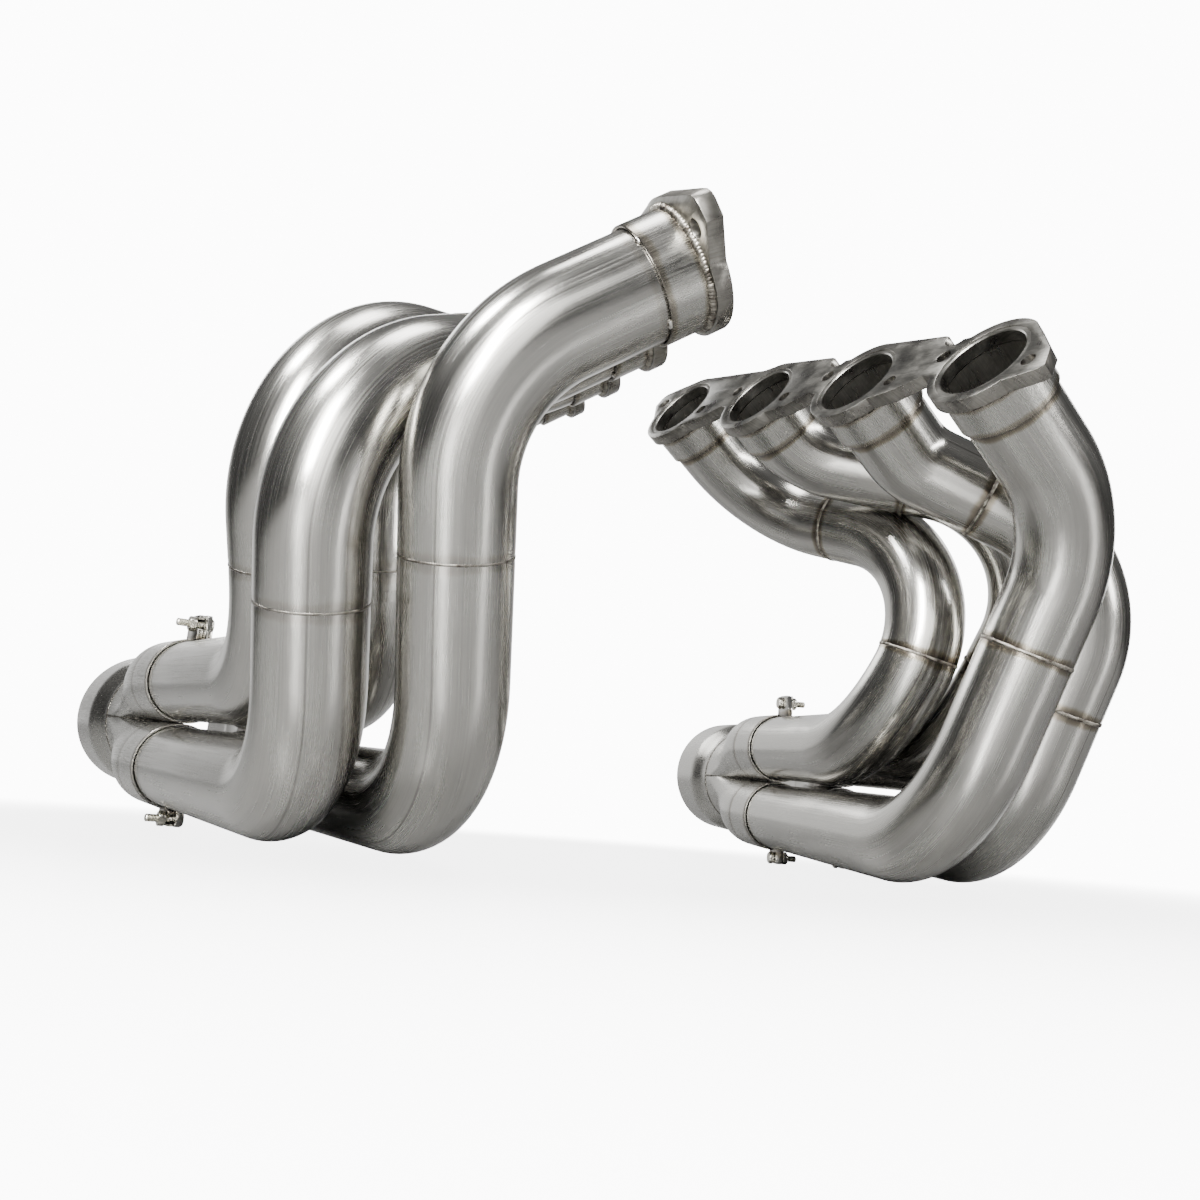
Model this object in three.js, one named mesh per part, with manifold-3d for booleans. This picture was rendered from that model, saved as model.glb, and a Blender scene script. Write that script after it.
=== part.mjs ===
// A matched pair of four-into-one racing exhaust headers for a V8, left bank and right bank.
// Each header is a head flange, four collars, four primary tubes made of welded bends, and a
// slip-on merge collector held by four small clamps. Units are millimetres and degrees, +Z is up.
//
// One header is described in its own frame: x runs rearward along the engine, y runs outward
// from the engine, z is the height above the floor. The right header uses that frame as it is.
// The left one is its mirror image, apart from the head flange, which is the same plate turned
// end for end.
import * as THREE from 'three';
import * as BufferGeometryUtils from 'three/addons/utils/BufferGeometryUtils.js';
import Module from 'manifold-3d';

const wasm = await Module();
wasm.setup();

// ---- Driving dimensions -----------------------------------------------------------------
const GAP = 0.3; // daylight kept between pieces that touch on the real thing

// Head flange and its row of ports
const PORT_PITCH = 111.76; // 4.40 in between ports
const PORT_BORE_R = 27.7;
const PORT_ONE_HEIGHT = 381; // centre of the rearmost port above the floor
const ROW_RISE = 11.5; // the row of ports climbs to the rear
const PORT_TILT = 34; // the ports blow outward and down
const PLATE_THICK = 9.5;
const LOBE_R = 36.5;
const HEAD_BOLT_R = 5;
const HIGH_BOLT = [38, 10.5]; // along the row and up the plate, from a port's centre
const LOW_BOLT = [-38.5, -6.5];

// Tubes and the sleeves they slip into
const TUBE_R = 30.165; // 2.375 in outside diameter
const TUBE_WALL = 1.65;
const SLEEVE_INNER_R = 31.06;
const SLEEVE_OUTER_R = 32.4;
const COLLAR_END = 33.5; // from the gasket face to the collar's rim

// Merge collector
const CUP_SPACING = 65;
const CUP_LENGTH = 50;
const CUP_FACE = [78, 226, 76]; // middle of the four rims
const COLLECTOR_YAW = 19.5;
const COLLECTOR_RISE = 3;
const TUBE_INSERTION = 45; // how far each tube reaches into its cup
const THROAT_AT = 185; // from the rims to the weld between cone and outlet
const THROAT_R = 54;
const OUTLET_R = 62;
const FLARE_LENGTH = 42;
const COLLECTOR_LENGTH = 285;

// Clamps: two tabs face to face, with a small bolt through both
const TAB_THICK = 4;
// Heights from the middle of the cup. The lower clamps are squat, to clear the floor.
const CLAMP_HEIGHTS = { upper: { bolt: 43, top: 50 }, lower: { bolt: 38.2, top: 43.2 } };
const BOLT_BEFORE_RIM = 8;
const BOLT_R = 3;
const BOLT_HOLE_R = 3.6;
const HEX_R = 5.8;
const HEAD_HEIGHT = 4;
const NUT_HEIGHT = 5;
const THREAD_SHOWING = 9;

// Where each tube turns. lead: straight run out of the port; knee: the free corner, where there
// is one; turn: how far rearward the tube meets its cup's axis; radii: one for each corner;
// seams: distances along the tube at which its sections are butt-welded.
const TUBES = [
  { port: 1, lead: 124, knee: [-186, 152, 248], turn: -110, radii: [90, 85, 105], seams: [192, 352] },
  { port: 2, lead: 63, knee: [-243, 209, 281], turn: -150, radii: [66, 90, 95], seams: [142, 348] },
  { port: 3, lead: 77, knee: [-290, 180, 230], turn: -204, radii: [46, 90, 90], seams: [131, 312] },
  { port: 4, lead: 135, turn: -222, radii: [93, 100], seams: [216] },
];
// Where each tube's cup sits in the two-by-two cluster: outward and up, in half spacings.
const CUP_PLACE = { 1: [-1, 1], 2: [1, 1], 3: [1, -1], 4: [-1, -1] };
const SECTION_NAMES = { 2: ['inlet_bend', 'outlet_bend'], 3: ['inlet_bend', 'middle_bend', 'outlet_bend'] };

// The two headers side by side on the floor. bolts: the way the clamp bolts' threads point.
const HEADERS = {
  right: { mirrored: false, at: [0, 0], yaw: 0, plateTurned: true, bolts: 1 },
  left: { mirrored: true, at: [34, -112], yaw: 15, plateTurned: false, bolts: -1 },
};

// Facets
const TUBE_SIDES = 12;
const SLEEVE_SIDES = 16;
const OUTLET_SIDES = 20;
const CONE_SIDES = 24;
const BEND_STEP = 26; // degrees of bend to a facet

// ---- Directions -------------------------------------------------------------------------
const radians = THREE.MathUtils.degToRad;
const UP = new THREE.Vector3(0, 0, 1);
// The row of ports, pointing rearward.
const ROW = new THREE.Vector3(Math.cos(radians(ROW_RISE)), 0, Math.sin(radians(ROW_RISE)));
// The way the gas leaves a port: outward and down, square to the row.
const BLOW = new THREE.Vector3(0, Math.cos(radians(PORT_TILT)), -Math.sin(radians(PORT_TILT)));
BLOW.addScaledVector(ROW, -BLOW.dot(ROW)).normalize();
// Up the face of the plate.
const PLATE_UP = new THREE.Vector3().crossVectors(ROW, BLOW);

const AXIS = new THREE.Vector3(
  Math.cos(radians(COLLECTOR_YAW)) * Math.cos(radians(COLLECTOR_RISE)),
  Math.sin(radians(COLLECTOR_YAW)) * Math.cos(radians(COLLECTOR_RISE)),
  Math.sin(radians(COLLECTOR_RISE)),
);
const ASIDE = new THREE.Vector3().crossVectors(UP, AXIS).normalize();
const ABOVE = new THREE.Vector3().crossVectors(AXIS, ASIDE);

/** Centre of a port on the gasket face. */
function portCentre(port) {
  return new THREE.Vector3(0, 0, PORT_ONE_HEIGHT).addScaledVector(ROW, (1 - port) * PORT_PITCH);
}

/** Centre of a cup's rim. */
function cupCentre(port) {
  const [aside, above] = CUP_PLACE[port];
  return new THREE.Vector3(...CUP_FACE)
    .addScaledVector(ASIDE, (aside * CUP_SPACING) / 2)
    .addScaledVector(ABOVE, (above * CUP_SPACING) / 2);
}

/** Frame with its z along the given direction, for lathe work and prisms. */
function frameAlong(origin, direction, sideways) {
  const z = direction.clone().normalize();
  const x = sideways.clone().addScaledVector(z, -sideways.dot(z)).normalize();
  const y = new THREE.Vector3().crossVectors(z, x);
  return new THREE.Matrix4().makeBasis(x, y, z).setPosition(origin);
}

// ---- Solids -----------------------------------------------------------------------------
/** Position-only copy with shared vertices merged, ready for booleans. */
function welded(geometry) {
  const copy = geometry.clone();
  copy.deleteAttribute('normal');
  copy.deleteAttribute('uv');
  return BufferGeometryUtils.mergeVertices(copy, 1e-4);
}

function toSolid(geometry) {
  const merged = welded(geometry);
  const mesh = new wasm.Mesh({
    numProp: 3,
    vertProperties: new Float32Array(merged.attributes.position.array),
    triVerts: new Uint32Array(merged.index.array),
  });
  mesh.merge();
  return new wasm.Manifold(mesh);
}

function toGeometry(solid) {
  const mesh = solid.getMesh();
  const geometry = new THREE.BufferGeometry();
  geometry.setAttribute('position', new THREE.BufferAttribute(mesh.vertProperties, 3));
  geometry.setIndex(new THREE.BufferAttribute(mesh.triVerts, 1));
  return geometry;
}

function joined(...geometries) {
  const [first, ...rest] = geometries.map(toSolid);
  return toGeometry(rest.reduce((sum, solid) => sum.add(solid), first));
}

/** Ring or flared shell turned about its z axis from [radius, height] points. */
function turned(points, sides) {
  const profile = [...points, points[0]].map(([radius, height]) => new THREE.Vector2(radius, height));
  return new THREE.LatheGeometry(profile, sides).rotateX(Math.PI / 2);
}

/** Closed profile of a wall: the outer line, then back along the same line one wall inside. */
function wallProfile(outer, wall) {
  const inner = outer.map(([radius, height]) => [radius - wall, height]);
  return [...outer, ...inner.reverse()];
}

// ---- Bent tubes -------------------------------------------------------------------------
/** Arc of a bend, from its start point and direction, turning about an axis. */
class Bend extends THREE.Curve {
  constructor(start, direction, axis, radius, angle) {
    super();
    const inward = new THREE.Vector3().crossVectors(axis, direction);
    this.centre = start.clone().addScaledVector(inward, radius);
    this.spoke = start.clone().sub(this.centre);
    this.axis = axis;
    this.angle = angle;
    this.bendSteps = Math.ceil(THREE.MathUtils.radToDeg(angle) / BEND_STEP);
  }

  getPoint(t, target = new THREE.Vector3()) {
    return target.copy(this.spoke).applyAxisAngle(this.axis, this.angle * t).add(this.centre);
  }
}

/** Centreline through a list of corners, each rounded by a bend of its own radius. */
function centreline(corners, radii) {
  const path = new THREE.CurvePath();
  let from = corners[0];
  for (let i = 1; i < corners.length - 1; i += 1) {
    const before = corners[i].clone().sub(corners[i - 1]).normalize();
    const after = corners[i + 1].clone().sub(corners[i]).normalize();
    const angle = before.angleTo(after);
    const setback = radii[i - 1] * Math.tan(angle / 2);
    const start = corners[i].clone().addScaledVector(before, -setback);
    const axis = new THREE.Vector3().crossVectors(before, after).normalize();
    path.add(new THREE.LineCurve3(from, start));
    path.add(new Bend(start, before, axis, radii[i - 1], angle));
    from = corners[i].clone().addScaledVector(after, setback);
  }
  path.add(new THREE.LineCurve3(from, corners[corners.length - 1]));
  return path;
}

/** Part of a centreline between two distances, with stations only where the tube bends. */
class Section extends THREE.Curve {
  constructor(path, from, to) {
    super();
    this.path = path;
    this.length = path.getLength();
    const ends = path.getCurveLengths();
    this.stations = [from];
    path.curves.forEach((curve, i) => {
      const begin = i === 0 ? 0 : ends[i - 1];
      const steps = curve.bendSteps ?? 1;
      for (let step = 0; step <= steps; step += 1) {
        const distance = begin + ((ends[i] - begin) * step) / steps;
        const clearOfLast = distance > this.stations[this.stations.length - 1] + 1;
        if (clearOfLast && distance < to - 1) this.stations.push(distance);
      }
    });
    this.stations.push(to);
    this.steps = this.stations.length - 1;
  }

  getPoint(t, target = new THREE.Vector3()) {
    const place = Math.min(t * this.steps, this.steps - 1e-9);
    const i = Math.floor(place);
    const distance = THREE.MathUtils.lerp(this.stations[i], this.stations[i + 1], place - i);
    return this.path.getPoint(distance / this.length, target);
  }

  getPointAt(u, target) {
    return this.getPoint(u, target);
  }

  /** True direction of the centreline, so that neighbouring sections meet squarely. */
  getTangentAt(u, target = new THREE.Vector3()) {
    const place = Math.min(Math.round(u * this.steps), this.steps);
    const at = this.stations[place] / this.length;
    const reach = 0.01 / this.length;
    const ahead = this.path.getPoint(Math.min(at + reach, 1));
    const behind = this.path.getPoint(Math.max(at - reach, 0));
    return target.copy(ahead).sub(behind).normalize();
  }
}

/** Regular outline with a corner on its first axis. */
function polygon(radius, sides, PathType = THREE.Shape) {
  const outline = new PathType();
  for (let i = 0; i < sides; i += 1) {
    const angle = (2 * Math.PI * i) / sides;
    const point = [radius * Math.cos(angle), radius * Math.sin(angle)];
    if (i === 0) outline.moveTo(...point);
    else outline.lineTo(...point);
  }
  outline.closePath();
  return outline;
}

function tubeSection(path, from, to) {
  const section = new Section(path, from, to);
  const ring = polygon(TUBE_R, TUBE_SIDES);
  ring.holes.push(polygon(TUBE_R - TUBE_WALL, TUBE_SIDES, THREE.Path));
  return new THREE.ExtrudeGeometry(ring, {
    steps: section.steps,
    extrudePath: section,
    curveSegments: 1,
  });
}

function tubePath(tube) {
  const start = portCentre(tube.port);
  const rim = cupCentre(tube.port);
  const corners = [start, start.clone().addScaledVector(BLOW, tube.lead)];
  if (tube.knee) corners.push(new THREE.Vector3(...tube.knee));
  corners.push(rim.clone().addScaledVector(AXIS, (tube.turn - rim.x) / AXIS.x));
  corners.push(rim.clone().addScaledVector(AXIS, TUBE_INSERTION));
  return centreline(corners, tube.radii);
}

// ---- Head flange ------------------------------------------------------------------------
/** Outline of the plate, port 4 at the origin and the row along x. */
function plateOutline() {
  const outline = new THREE.Shape();
  const last = 3 * PORT_PITCH;
  // Lower edge, front to rear: bolt lug, round lobe, then a scoop up to the next lug.
  outline.moveTo(-54, -13);
  for (let centre = 0; centre <= last + 1; centre += PORT_PITCH) {
    outline.lineTo(centre - 50, -16.5);
    outline.absarc(centre, 0, LOBE_R, radians(218), radians(346), false);
    if (centre < last) outline.lineTo(centre + 44, -6.5);
  }
  // Rear end: the lug of the last high bolt.
  outline.lineTo(last + 52.5, 9);
  outline.lineTo(last + 52.5, 18);
  outline.lineTo(last + 49, 23.5);
  outline.lineTo(last + 43, 26);
  // Upper edge, rear to front: lobe tops, straight webs, and a round notch behind ports 3 and 4.
  for (let port = 1; port <= 4; port += 1) {
    const centre = (4 - port) * PORT_PITCH;
    if (port > 2) outline.absarc(centre + 40, 29.5, 8.5, radians(15), radians(205), true);
    outline.absarc(centre, 0, LOBE_R + 1, radians(port > 2 ? 45 : 70), radians(port < 4 ? 100 : 125), false);
    if (port < 4) outline.lineTo(centre - PORT_PITCH + (port > 1 ? 52 : 24), 33);
  }
  outline.lineTo(-48.5, 2);
  outline.closePath();
  return outline;
}

function roundHole(x, y, radius, sides) {
  const corners = [];
  for (let i = 0; i < sides; i += 1) {
    const angle = (2 * Math.PI * i) / sides;
    corners.push(new THREE.Vector2(x + radius * Math.cos(angle), y + radius * Math.sin(angle)));
  }
  return new THREE.Path(corners);
}

/** Plate in the header frame, its gasket face towards the engine. */
function headFlange(plateTurned) {
  const outline = plateOutline();
  for (let i = 0; i < 4; i += 1) {
    const centre = i * PORT_PITCH;
    outline.holes.push(roundHole(centre, 0, PORT_BORE_R, 20));
    outline.holes.push(roundHole(centre + HIGH_BOLT[0], HIGH_BOLT[1], HEAD_BOLT_R, 10));
    outline.holes.push(roundHole(centre + LOW_BOLT[0], LOW_BOLT[1], HEAD_BOLT_R, 10));
  }
  const plate = new THREE.ExtrudeGeometry(outline, {
    depth: PLATE_THICK,
    bevelEnabled: false,
    curveSegments: 3,
  });
  if (plateTurned) {
    // Turned end for end about the plate's upright middle line, so the other face is outside.
    plate.translate((-3 * PORT_PITCH) / 2, 0, -PLATE_THICK / 2);
    plate.rotateY(Math.PI);
    plate.translate((3 * PORT_PITCH) / 2, 0, PLATE_THICK / 2);
  }
  // ROW, PLATE_UP and their cross product make a right-handed set that points at the engine.
  const toEngine = new THREE.Vector3().crossVectors(ROW, PLATE_UP);
  const origin = portCentre(4).addScaledVector(BLOW, PLATE_THICK);
  plate.applyMatrix4(new THREE.Matrix4().makeBasis(ROW, PLATE_UP, toEngine).setPosition(origin));
  return plate;
}

// ---- Sleeves, cone and outlet -----------------------------------------------------------
function sleeve(length) {
  return turned(
    [[SLEEVE_INNER_R, 0], [SLEEVE_OUTER_R, 0], [SLEEVE_OUTER_R, length], [SLEEVE_INNER_R, length]],
    SLEEVE_SIDES,
  );
}

function collar(port) {
  const start = portCentre(port).addScaledVector(BLOW, PLATE_THICK + GAP);
  return sleeve(COLLAR_END - PLATE_THICK - GAP).applyMatrix4(frameAlong(start, BLOW, ROW));
}

/** Reach of the four-cup cluster from its middle, in the direction of an angle. */
function clusterReach(angle, cupRadius) {
  const quarter = Math.PI / 2;
  const fromDiagonal = (((angle % quarter) + quarter) % quarter) - quarter / 2;
  const diagonal = CUP_SPACING / Math.SQRT2;
  const across = Math.min(Math.abs(diagonal * Math.sin(fromDiagonal)), cupRadius);
  return diagonal * Math.cos(fromDiagonal) + Math.sqrt(cupRadius ** 2 - across ** 2);
}

/** Shell that gathers the four cups into the round throat. */
function mergeCone() {
  const length = THROAT_AT - CUP_LENGTH - 2 * GAP;
  const stations = [0, 0.25, 0.5, 0.75, 1];
  // Radii of 1 and 2 only mark the inner and the outer skin until the sections are shaped.
  const outer = stations.map((s) => [2, s * length]);
  const inner = stations.map((s) => [1, s * length]).reverse();
  const cone = turned([...outer, ...inner], CONE_SIDES);
  const position = cone.attributes.position;
  for (let i = 0; i < position.count; i += 1) {
    const x = position.getX(i);
    const y = position.getY(i);
    const isInner = Math.hypot(x, y) < 1.5;
    const angle = Math.atan2(y, x);
    const blend = THREE.MathUtils.smootherstep(position.getZ(i) / length, 0, 1);
    const cupRadius = isInner ? SLEEVE_OUTER_R - TUBE_WALL : SLEEVE_OUTER_R;
    const throat = isInner ? THROAT_R - TUBE_WALL : THROAT_R;
    const reach = THREE.MathUtils.lerp(clusterReach(angle, cupRadius), throat, blend);
    position.setXY(i, reach * Math.cos(angle), reach * Math.sin(angle));
  }
  const start = new THREE.Vector3(...CUP_FACE).addScaledVector(AXIS, CUP_LENGTH + GAP);
  return cone.applyMatrix4(frameAlong(start, AXIS, ASIDE));
}

function outlet() {
  const length = COLLECTOR_LENGTH - THROAT_AT;
  const outer = [
    [THROAT_R, 0],
    [THROAT_R + 1.5, FLARE_LENGTH * 0.25],
    [(THROAT_R + OUTLET_R) / 2, FLARE_LENGTH * 0.55],
    [OUTLET_R - 0.5, FLARE_LENGTH * 0.85],
    [OUTLET_R, FLARE_LENGTH],
    [OUTLET_R, length],
  ];
  const start = new THREE.Vector3(...CUP_FACE).addScaledVector(AXIS, THROAT_AT);
  const shell = turned(wallProfile(outer, TUBE_WALL), OUTLET_SIDES);
  return shell.applyMatrix4(frameAlong(start, AXIS, ASIDE));
}

// ---- Clamps -----------------------------------------------------------------------------
/** Frame of a clamp: x along the collector, y away from the cup, z along the bolt's thread. */
function clampFrame(port, threadWay) {
  const above = ABOVE.clone().multiplyScalar(CUP_PLACE[port][1]);
  const thread = ASIDE.clone().multiplyScalar(threadWay);
  const along = new THREE.Vector3().crossVectors(above, thread);
  const matrix = new THREE.Matrix4().makeBasis(along, above, thread).setPosition(cupCentre(port));
  return { matrix, rearward: Math.sign(along.dot(AXIS)) };
}

/** Flat tab drawn as [distance along the collector, height] points, with its near face at z. */
function tab(points, z, rearward) {
  const corners = points.map(([x, y]) => new THREE.Vector2(x * rearward, y));
  return new THREE.ExtrudeGeometry(new THREE.Shape(corners), { depth: TAB_THICK, bevelEnabled: false })
    .translate(0, 0, z);
}

/** The cup's tab: a fork, open to the front, so that it slips off the loosened bolt. */
function cupTab({ bolt, top }, rearward) {
  const x = -BOLT_BEFORE_RIM;
  const half = BOLT_HOLE_R;
  const chamfer = half * Math.tan(Math.PI / 8);
  const foot = SLEEVE_INNER_R + 0.3;
  const clearOfTube = TUBE_R + 1;
  return tab([
    [1, foot], [15, foot], [15, foot + 8], [9, top], [-14, top], [-16, top - 1],
    [-16, bolt + half], [x + chamfer, bolt + half], [x + half, bolt + chamfer],
    [x + half, bolt - chamfer], [x + chamfer, bolt - half], [-16, bolt - half],
    [-16, clearOfTube], [1, clearOfTube],
  ], GAP / 2, rearward);
}

/** The tube's tab: welded to the tube in front of the cup, with a round hole for the bolt. */
function tubeTab({ bolt, top }, rearward) {
  const foot = TUBE_R - TUBE_WALL + 0.4;
  const plate = tab(
    [[-28, foot], [-3, foot], [-1, 35], [1, top - 3], [-2, top], [-21, top], [-28, foot + 8]],
    -GAP / 2 - TAB_THICK,
    rearward,
  );
  const drill = new THREE.CylinderGeometry(BOLT_HOLE_R, BOLT_HOLE_R, 3 * TAB_THICK, 8)
    .rotateX(Math.PI / 2)
    .translate(-BOLT_BEFORE_RIM * rearward, bolt, -TAB_THICK / 2);
  return toGeometry(toSolid(plate).subtract(toSolid(drill)));
}

function prismAlongBolt(radius, length, sides) {
  return new THREE.CylinderGeometry(radius, radius, length, sides)
    .rotateX(Math.PI / 2)
    .translate(0, 0, length / 2);
}

function clampBolt() {
  const headFace = -GAP * 1.5 - TAB_THICK;
  const tip = GAP * 1.5 + TAB_THICK + NUT_HEIGHT + THREAD_SHOWING;
  const head = prismAlongBolt(HEX_R, HEAD_HEIGHT, 6)
    .rotateZ(Math.PI / 6)
    .translate(0, 0, headFace - HEAD_HEIGHT);
  const shank = prismAlongBolt(BOLT_R, tip - headFace + 1, 8).translate(0, 0, headFace - 1);
  return joined(head, shank);
}

function clampNut() {
  const hexagon = polygon(HEX_R, 6);
  hexagon.holes.push(polygon(BOLT_HOLE_R, 8, THREE.Path));
  return new THREE.ExtrudeGeometry(hexagon, { depth: NUT_HEIGHT, bevelEnabled: false, curveSegments: 1 })
    .translate(0, 0, GAP * 1.5 + TAB_THICK);
}

// ---- Materials --------------------------------------------------------------------------
const FINISHES = {
  plate: { color: 0x9b9a97, roughness: 0.38, metalness: 1 },
  tube: { color: 0xb4b3b0, roughness: 0.28, metalness: 1 },
  collector: { color: 0xb9b7b2, roughness: 0.34, metalness: 1 },
  fastener: { color: 0xc4c3bd, roughness: 0.3, metalness: 1 },
};

// ---- Assembly ---------------------------------------------------------------------------
/** Mirror image across the plane y = 0, faces kept pointing out. */
function mirrorImage(geometry) {
  const merged = welded(geometry).scale(1, -1, 1);
  const index = merged.index;
  for (let i = 0; i < index.count; i += 3) {
    const first = index.getX(i);
    index.setX(i, index.getX(i + 1));
    index.setX(i + 1, first);
  }
  return merged;
}

function buildHeader(side, { mirrored, at, yaw, plateTurned, bolts }) {
  const header = new THREE.Group();
  const add = (name, geometry, finish) => {
    const mesh = new THREE.Mesh(
      mirrored ? mirrorImage(geometry) : geometry,
      new THREE.MeshStandardMaterial(FINISHES[finish]),
    );
    mesh.name = `${side}_${name}`;
    header.add(mesh);
  };
  // In the mirror the outward direction is reversed, so the bolts' way is too.
  const outwardThread = mirrored ? -bolts : bolts;

  add('head_flange', headFlange(plateTurned), 'plate');
  for (const tube of TUBES) {
    const { port } = tube;
    const { matrix, rearward } = clampFrame(port, outwardThread);
    const heights = CLAMP_HEIGHTS[CUP_PLACE[port][1] > 0 ? 'upper' : 'lower'];
    add(`collar_${port}`, collar(port), 'collector');

    const path = tubePath(tube);
    const joints = [PLATE_THICK + 2 * GAP, ...tube.seams, path.getLength()];
    const names = SECTION_NAMES[joints.length - 1];
    names.forEach((name, i) => {
      const from = joints[i] + (i > 0 ? GAP / 2 : 0);
      const isLast = i === names.length - 1;
      const section = tubeSection(path, from, joints[i + 1] - (isLast ? 0 : GAP / 2));
      const piece = isLast ? joined(section, tubeTab(heights, rearward).applyMatrix4(matrix)) : section;
      add(`primary_${port}_${name}`, piece, 'tube');
    });

    const cup = sleeve(CUP_LENGTH).applyMatrix4(frameAlong(cupCentre(port), AXIS, ASIDE));
    add(`cup_${port}`, joined(cup, cupTab(heights, rearward).applyMatrix4(matrix)), 'collector');

    const onBolt = matrix.clone().multiply(
      new THREE.Matrix4().makeTranslation(-BOLT_BEFORE_RIM * rearward, heights.bolt, 0),
    );
    add(`clamp_bolt_${port}`, clampBolt().applyMatrix4(onBolt), 'fastener');
    add(`clamp_nut_${port}`, clampNut().applyMatrix4(onBolt), 'fastener');
  }
  add('merge_cone', mergeCone(), 'collector');
  add('outlet', outlet(), 'collector');

  header.position.set(at[0], at[1], 0);
  header.rotation.z = radians(yaw);
  return header;
}

const pair = new THREE.Group();
for (const [side, settings] of Object.entries(HEADERS)) pair.add(buildHeader(side, settings));

// The origin is the middle of the footprint, on the floor.
pair.updateMatrixWorld(true);
const box = new THREE.Box3().setFromObject(pair, true);
const middle = box.getCenter(new THREE.Vector3());
pair.position.set(-middle.x, -middle.y, -box.min.z);

export default pair;
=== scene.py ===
"""A matched pair of four-into-one racing exhaust headers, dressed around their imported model.

Each header is described in its own frame, in millimetres: x runs rearward along the engine, y
outward from the engine and z up from the floor. Its Bank then mirrors, turns and moves every
piece to its place beside the other header.
"""

import logging
import math
from dataclasses import dataclass, field
from enum import Enum
from typing import Iterable, Sequence

import bmesh
import bpy
import numpy as np
from mathutils import Matrix, Vector

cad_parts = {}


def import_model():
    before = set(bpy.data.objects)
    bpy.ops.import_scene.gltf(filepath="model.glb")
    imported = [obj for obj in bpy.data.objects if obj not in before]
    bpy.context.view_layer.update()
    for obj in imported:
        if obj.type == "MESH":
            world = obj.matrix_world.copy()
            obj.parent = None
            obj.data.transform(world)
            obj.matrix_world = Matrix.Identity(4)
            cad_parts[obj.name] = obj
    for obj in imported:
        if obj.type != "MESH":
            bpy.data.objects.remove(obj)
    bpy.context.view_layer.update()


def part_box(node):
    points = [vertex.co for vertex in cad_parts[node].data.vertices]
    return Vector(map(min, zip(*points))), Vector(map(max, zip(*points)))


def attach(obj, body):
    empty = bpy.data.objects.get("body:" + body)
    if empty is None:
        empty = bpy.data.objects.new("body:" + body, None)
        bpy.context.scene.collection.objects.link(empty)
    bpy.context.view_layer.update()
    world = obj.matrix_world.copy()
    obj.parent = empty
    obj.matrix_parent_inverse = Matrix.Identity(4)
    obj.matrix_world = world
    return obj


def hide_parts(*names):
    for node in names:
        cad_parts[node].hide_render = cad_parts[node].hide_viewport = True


LOG = logging.getLogger("exhaust")
MM = 0.001
TAU = 2 * math.pi
UP = np.array([0.0, 0.0, 1.0])


# ---- Small helpers ------------------------------------------------------------------------
def unit(vector: Sequence[float]) -> np.ndarray:
    """The vector at a length of one."""
    array = np.asarray(vector, float)
    return array / np.linalg.norm(array)


def smooth(value: np.ndarray | float) -> np.ndarray | float:
    """Ease from 0 to 1 with no kink at either end."""
    clipped = np.clip(value, 0.0, 1.0)
    return clipped**3 * (clipped * (6 * clipped - 15) + 10)


def linear_colour(code: str) -> tuple[float, float, float, float]:
    """Turn an sRGB hex code into the linear colour that a shader takes.

    Args:
        code: six hex digits after a hash sign.

    Returns:
        Red, green, blue and an alpha of 1.
    """
    channels = [int(code[i : i + 2], 16) / 255 for i in (1, 3, 5)]
    linear = [c / 12.92 if c <= 0.04045 else ((c + 0.055) / 1.055) ** 2.4 for c in channels]
    return (linear[0], linear[1], linear[2], 1.0)


def add_node(tree: bpy.types.NodeTree, kind: str, settings: dict | None = None, **inputs) -> bpy.types.Node:
    """Add a node, set it up and link it.

    Args:
        tree: the shader or geometry tree that gets the node.
        kind: the node's type name.
        settings: properties of the node itself.
        **inputs: values or output sockets by input name, with underscores for spaces, or
            with a leading i and a number to pick an input by its place.

    Returns:
        The new node.
    """
    node = tree.nodes.new(kind)
    for key, value in (settings or {}).items():
        setattr(node, key, value)
    for key, value in inputs.items():
        socket = node.inputs[int(key[1:])] if key[1:].isdigit() else node.inputs[key.replace("_", " ")]
        if isinstance(value, bpy.types.NodeSocket):
            tree.links.new(value, socket)
        else:
            socket.default_value = value
    return node


# ---- Finishes -----------------------------------------------------------------------------
# Noise stays within these ends nearly everywhere.
MIDDLE = {"From_Min": 0.3, "From_Max": 0.7}
WIDE = {"From_Min": 0.25, "From_Max": 0.75}


def grain(
    tree: bpy.types.NodeTree,
    where: bpy.types.NodeSocket,
    size: tuple[float, float, float],
    detail: float,
    roughness: float = 0.5,
) -> bpy.types.NodeSocket:
    """Noise whose features have a real size.

    Args:
        tree: the material's tree.
        where: coordinates, in metres.
        size: of one feature along x, y and z, in mm.
        detail: levels of finer noise on it.
        roughness: how strong the finer levels are.

    Returns:
        Its value.
    """
    scale = tuple(1 / (length * MM) for length in size)
    at = add_node(tree, "ShaderNodeVectorMath", {"operation": "MULTIPLY"}, i0=where, i1=scale)
    noise = {"Scale": 1.0, "Detail": detail, "Roughness": roughness}
    return add_node(tree, "ShaderNodeTexNoise", Vector=at.outputs[0], **noise).outputs[0]


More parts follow.
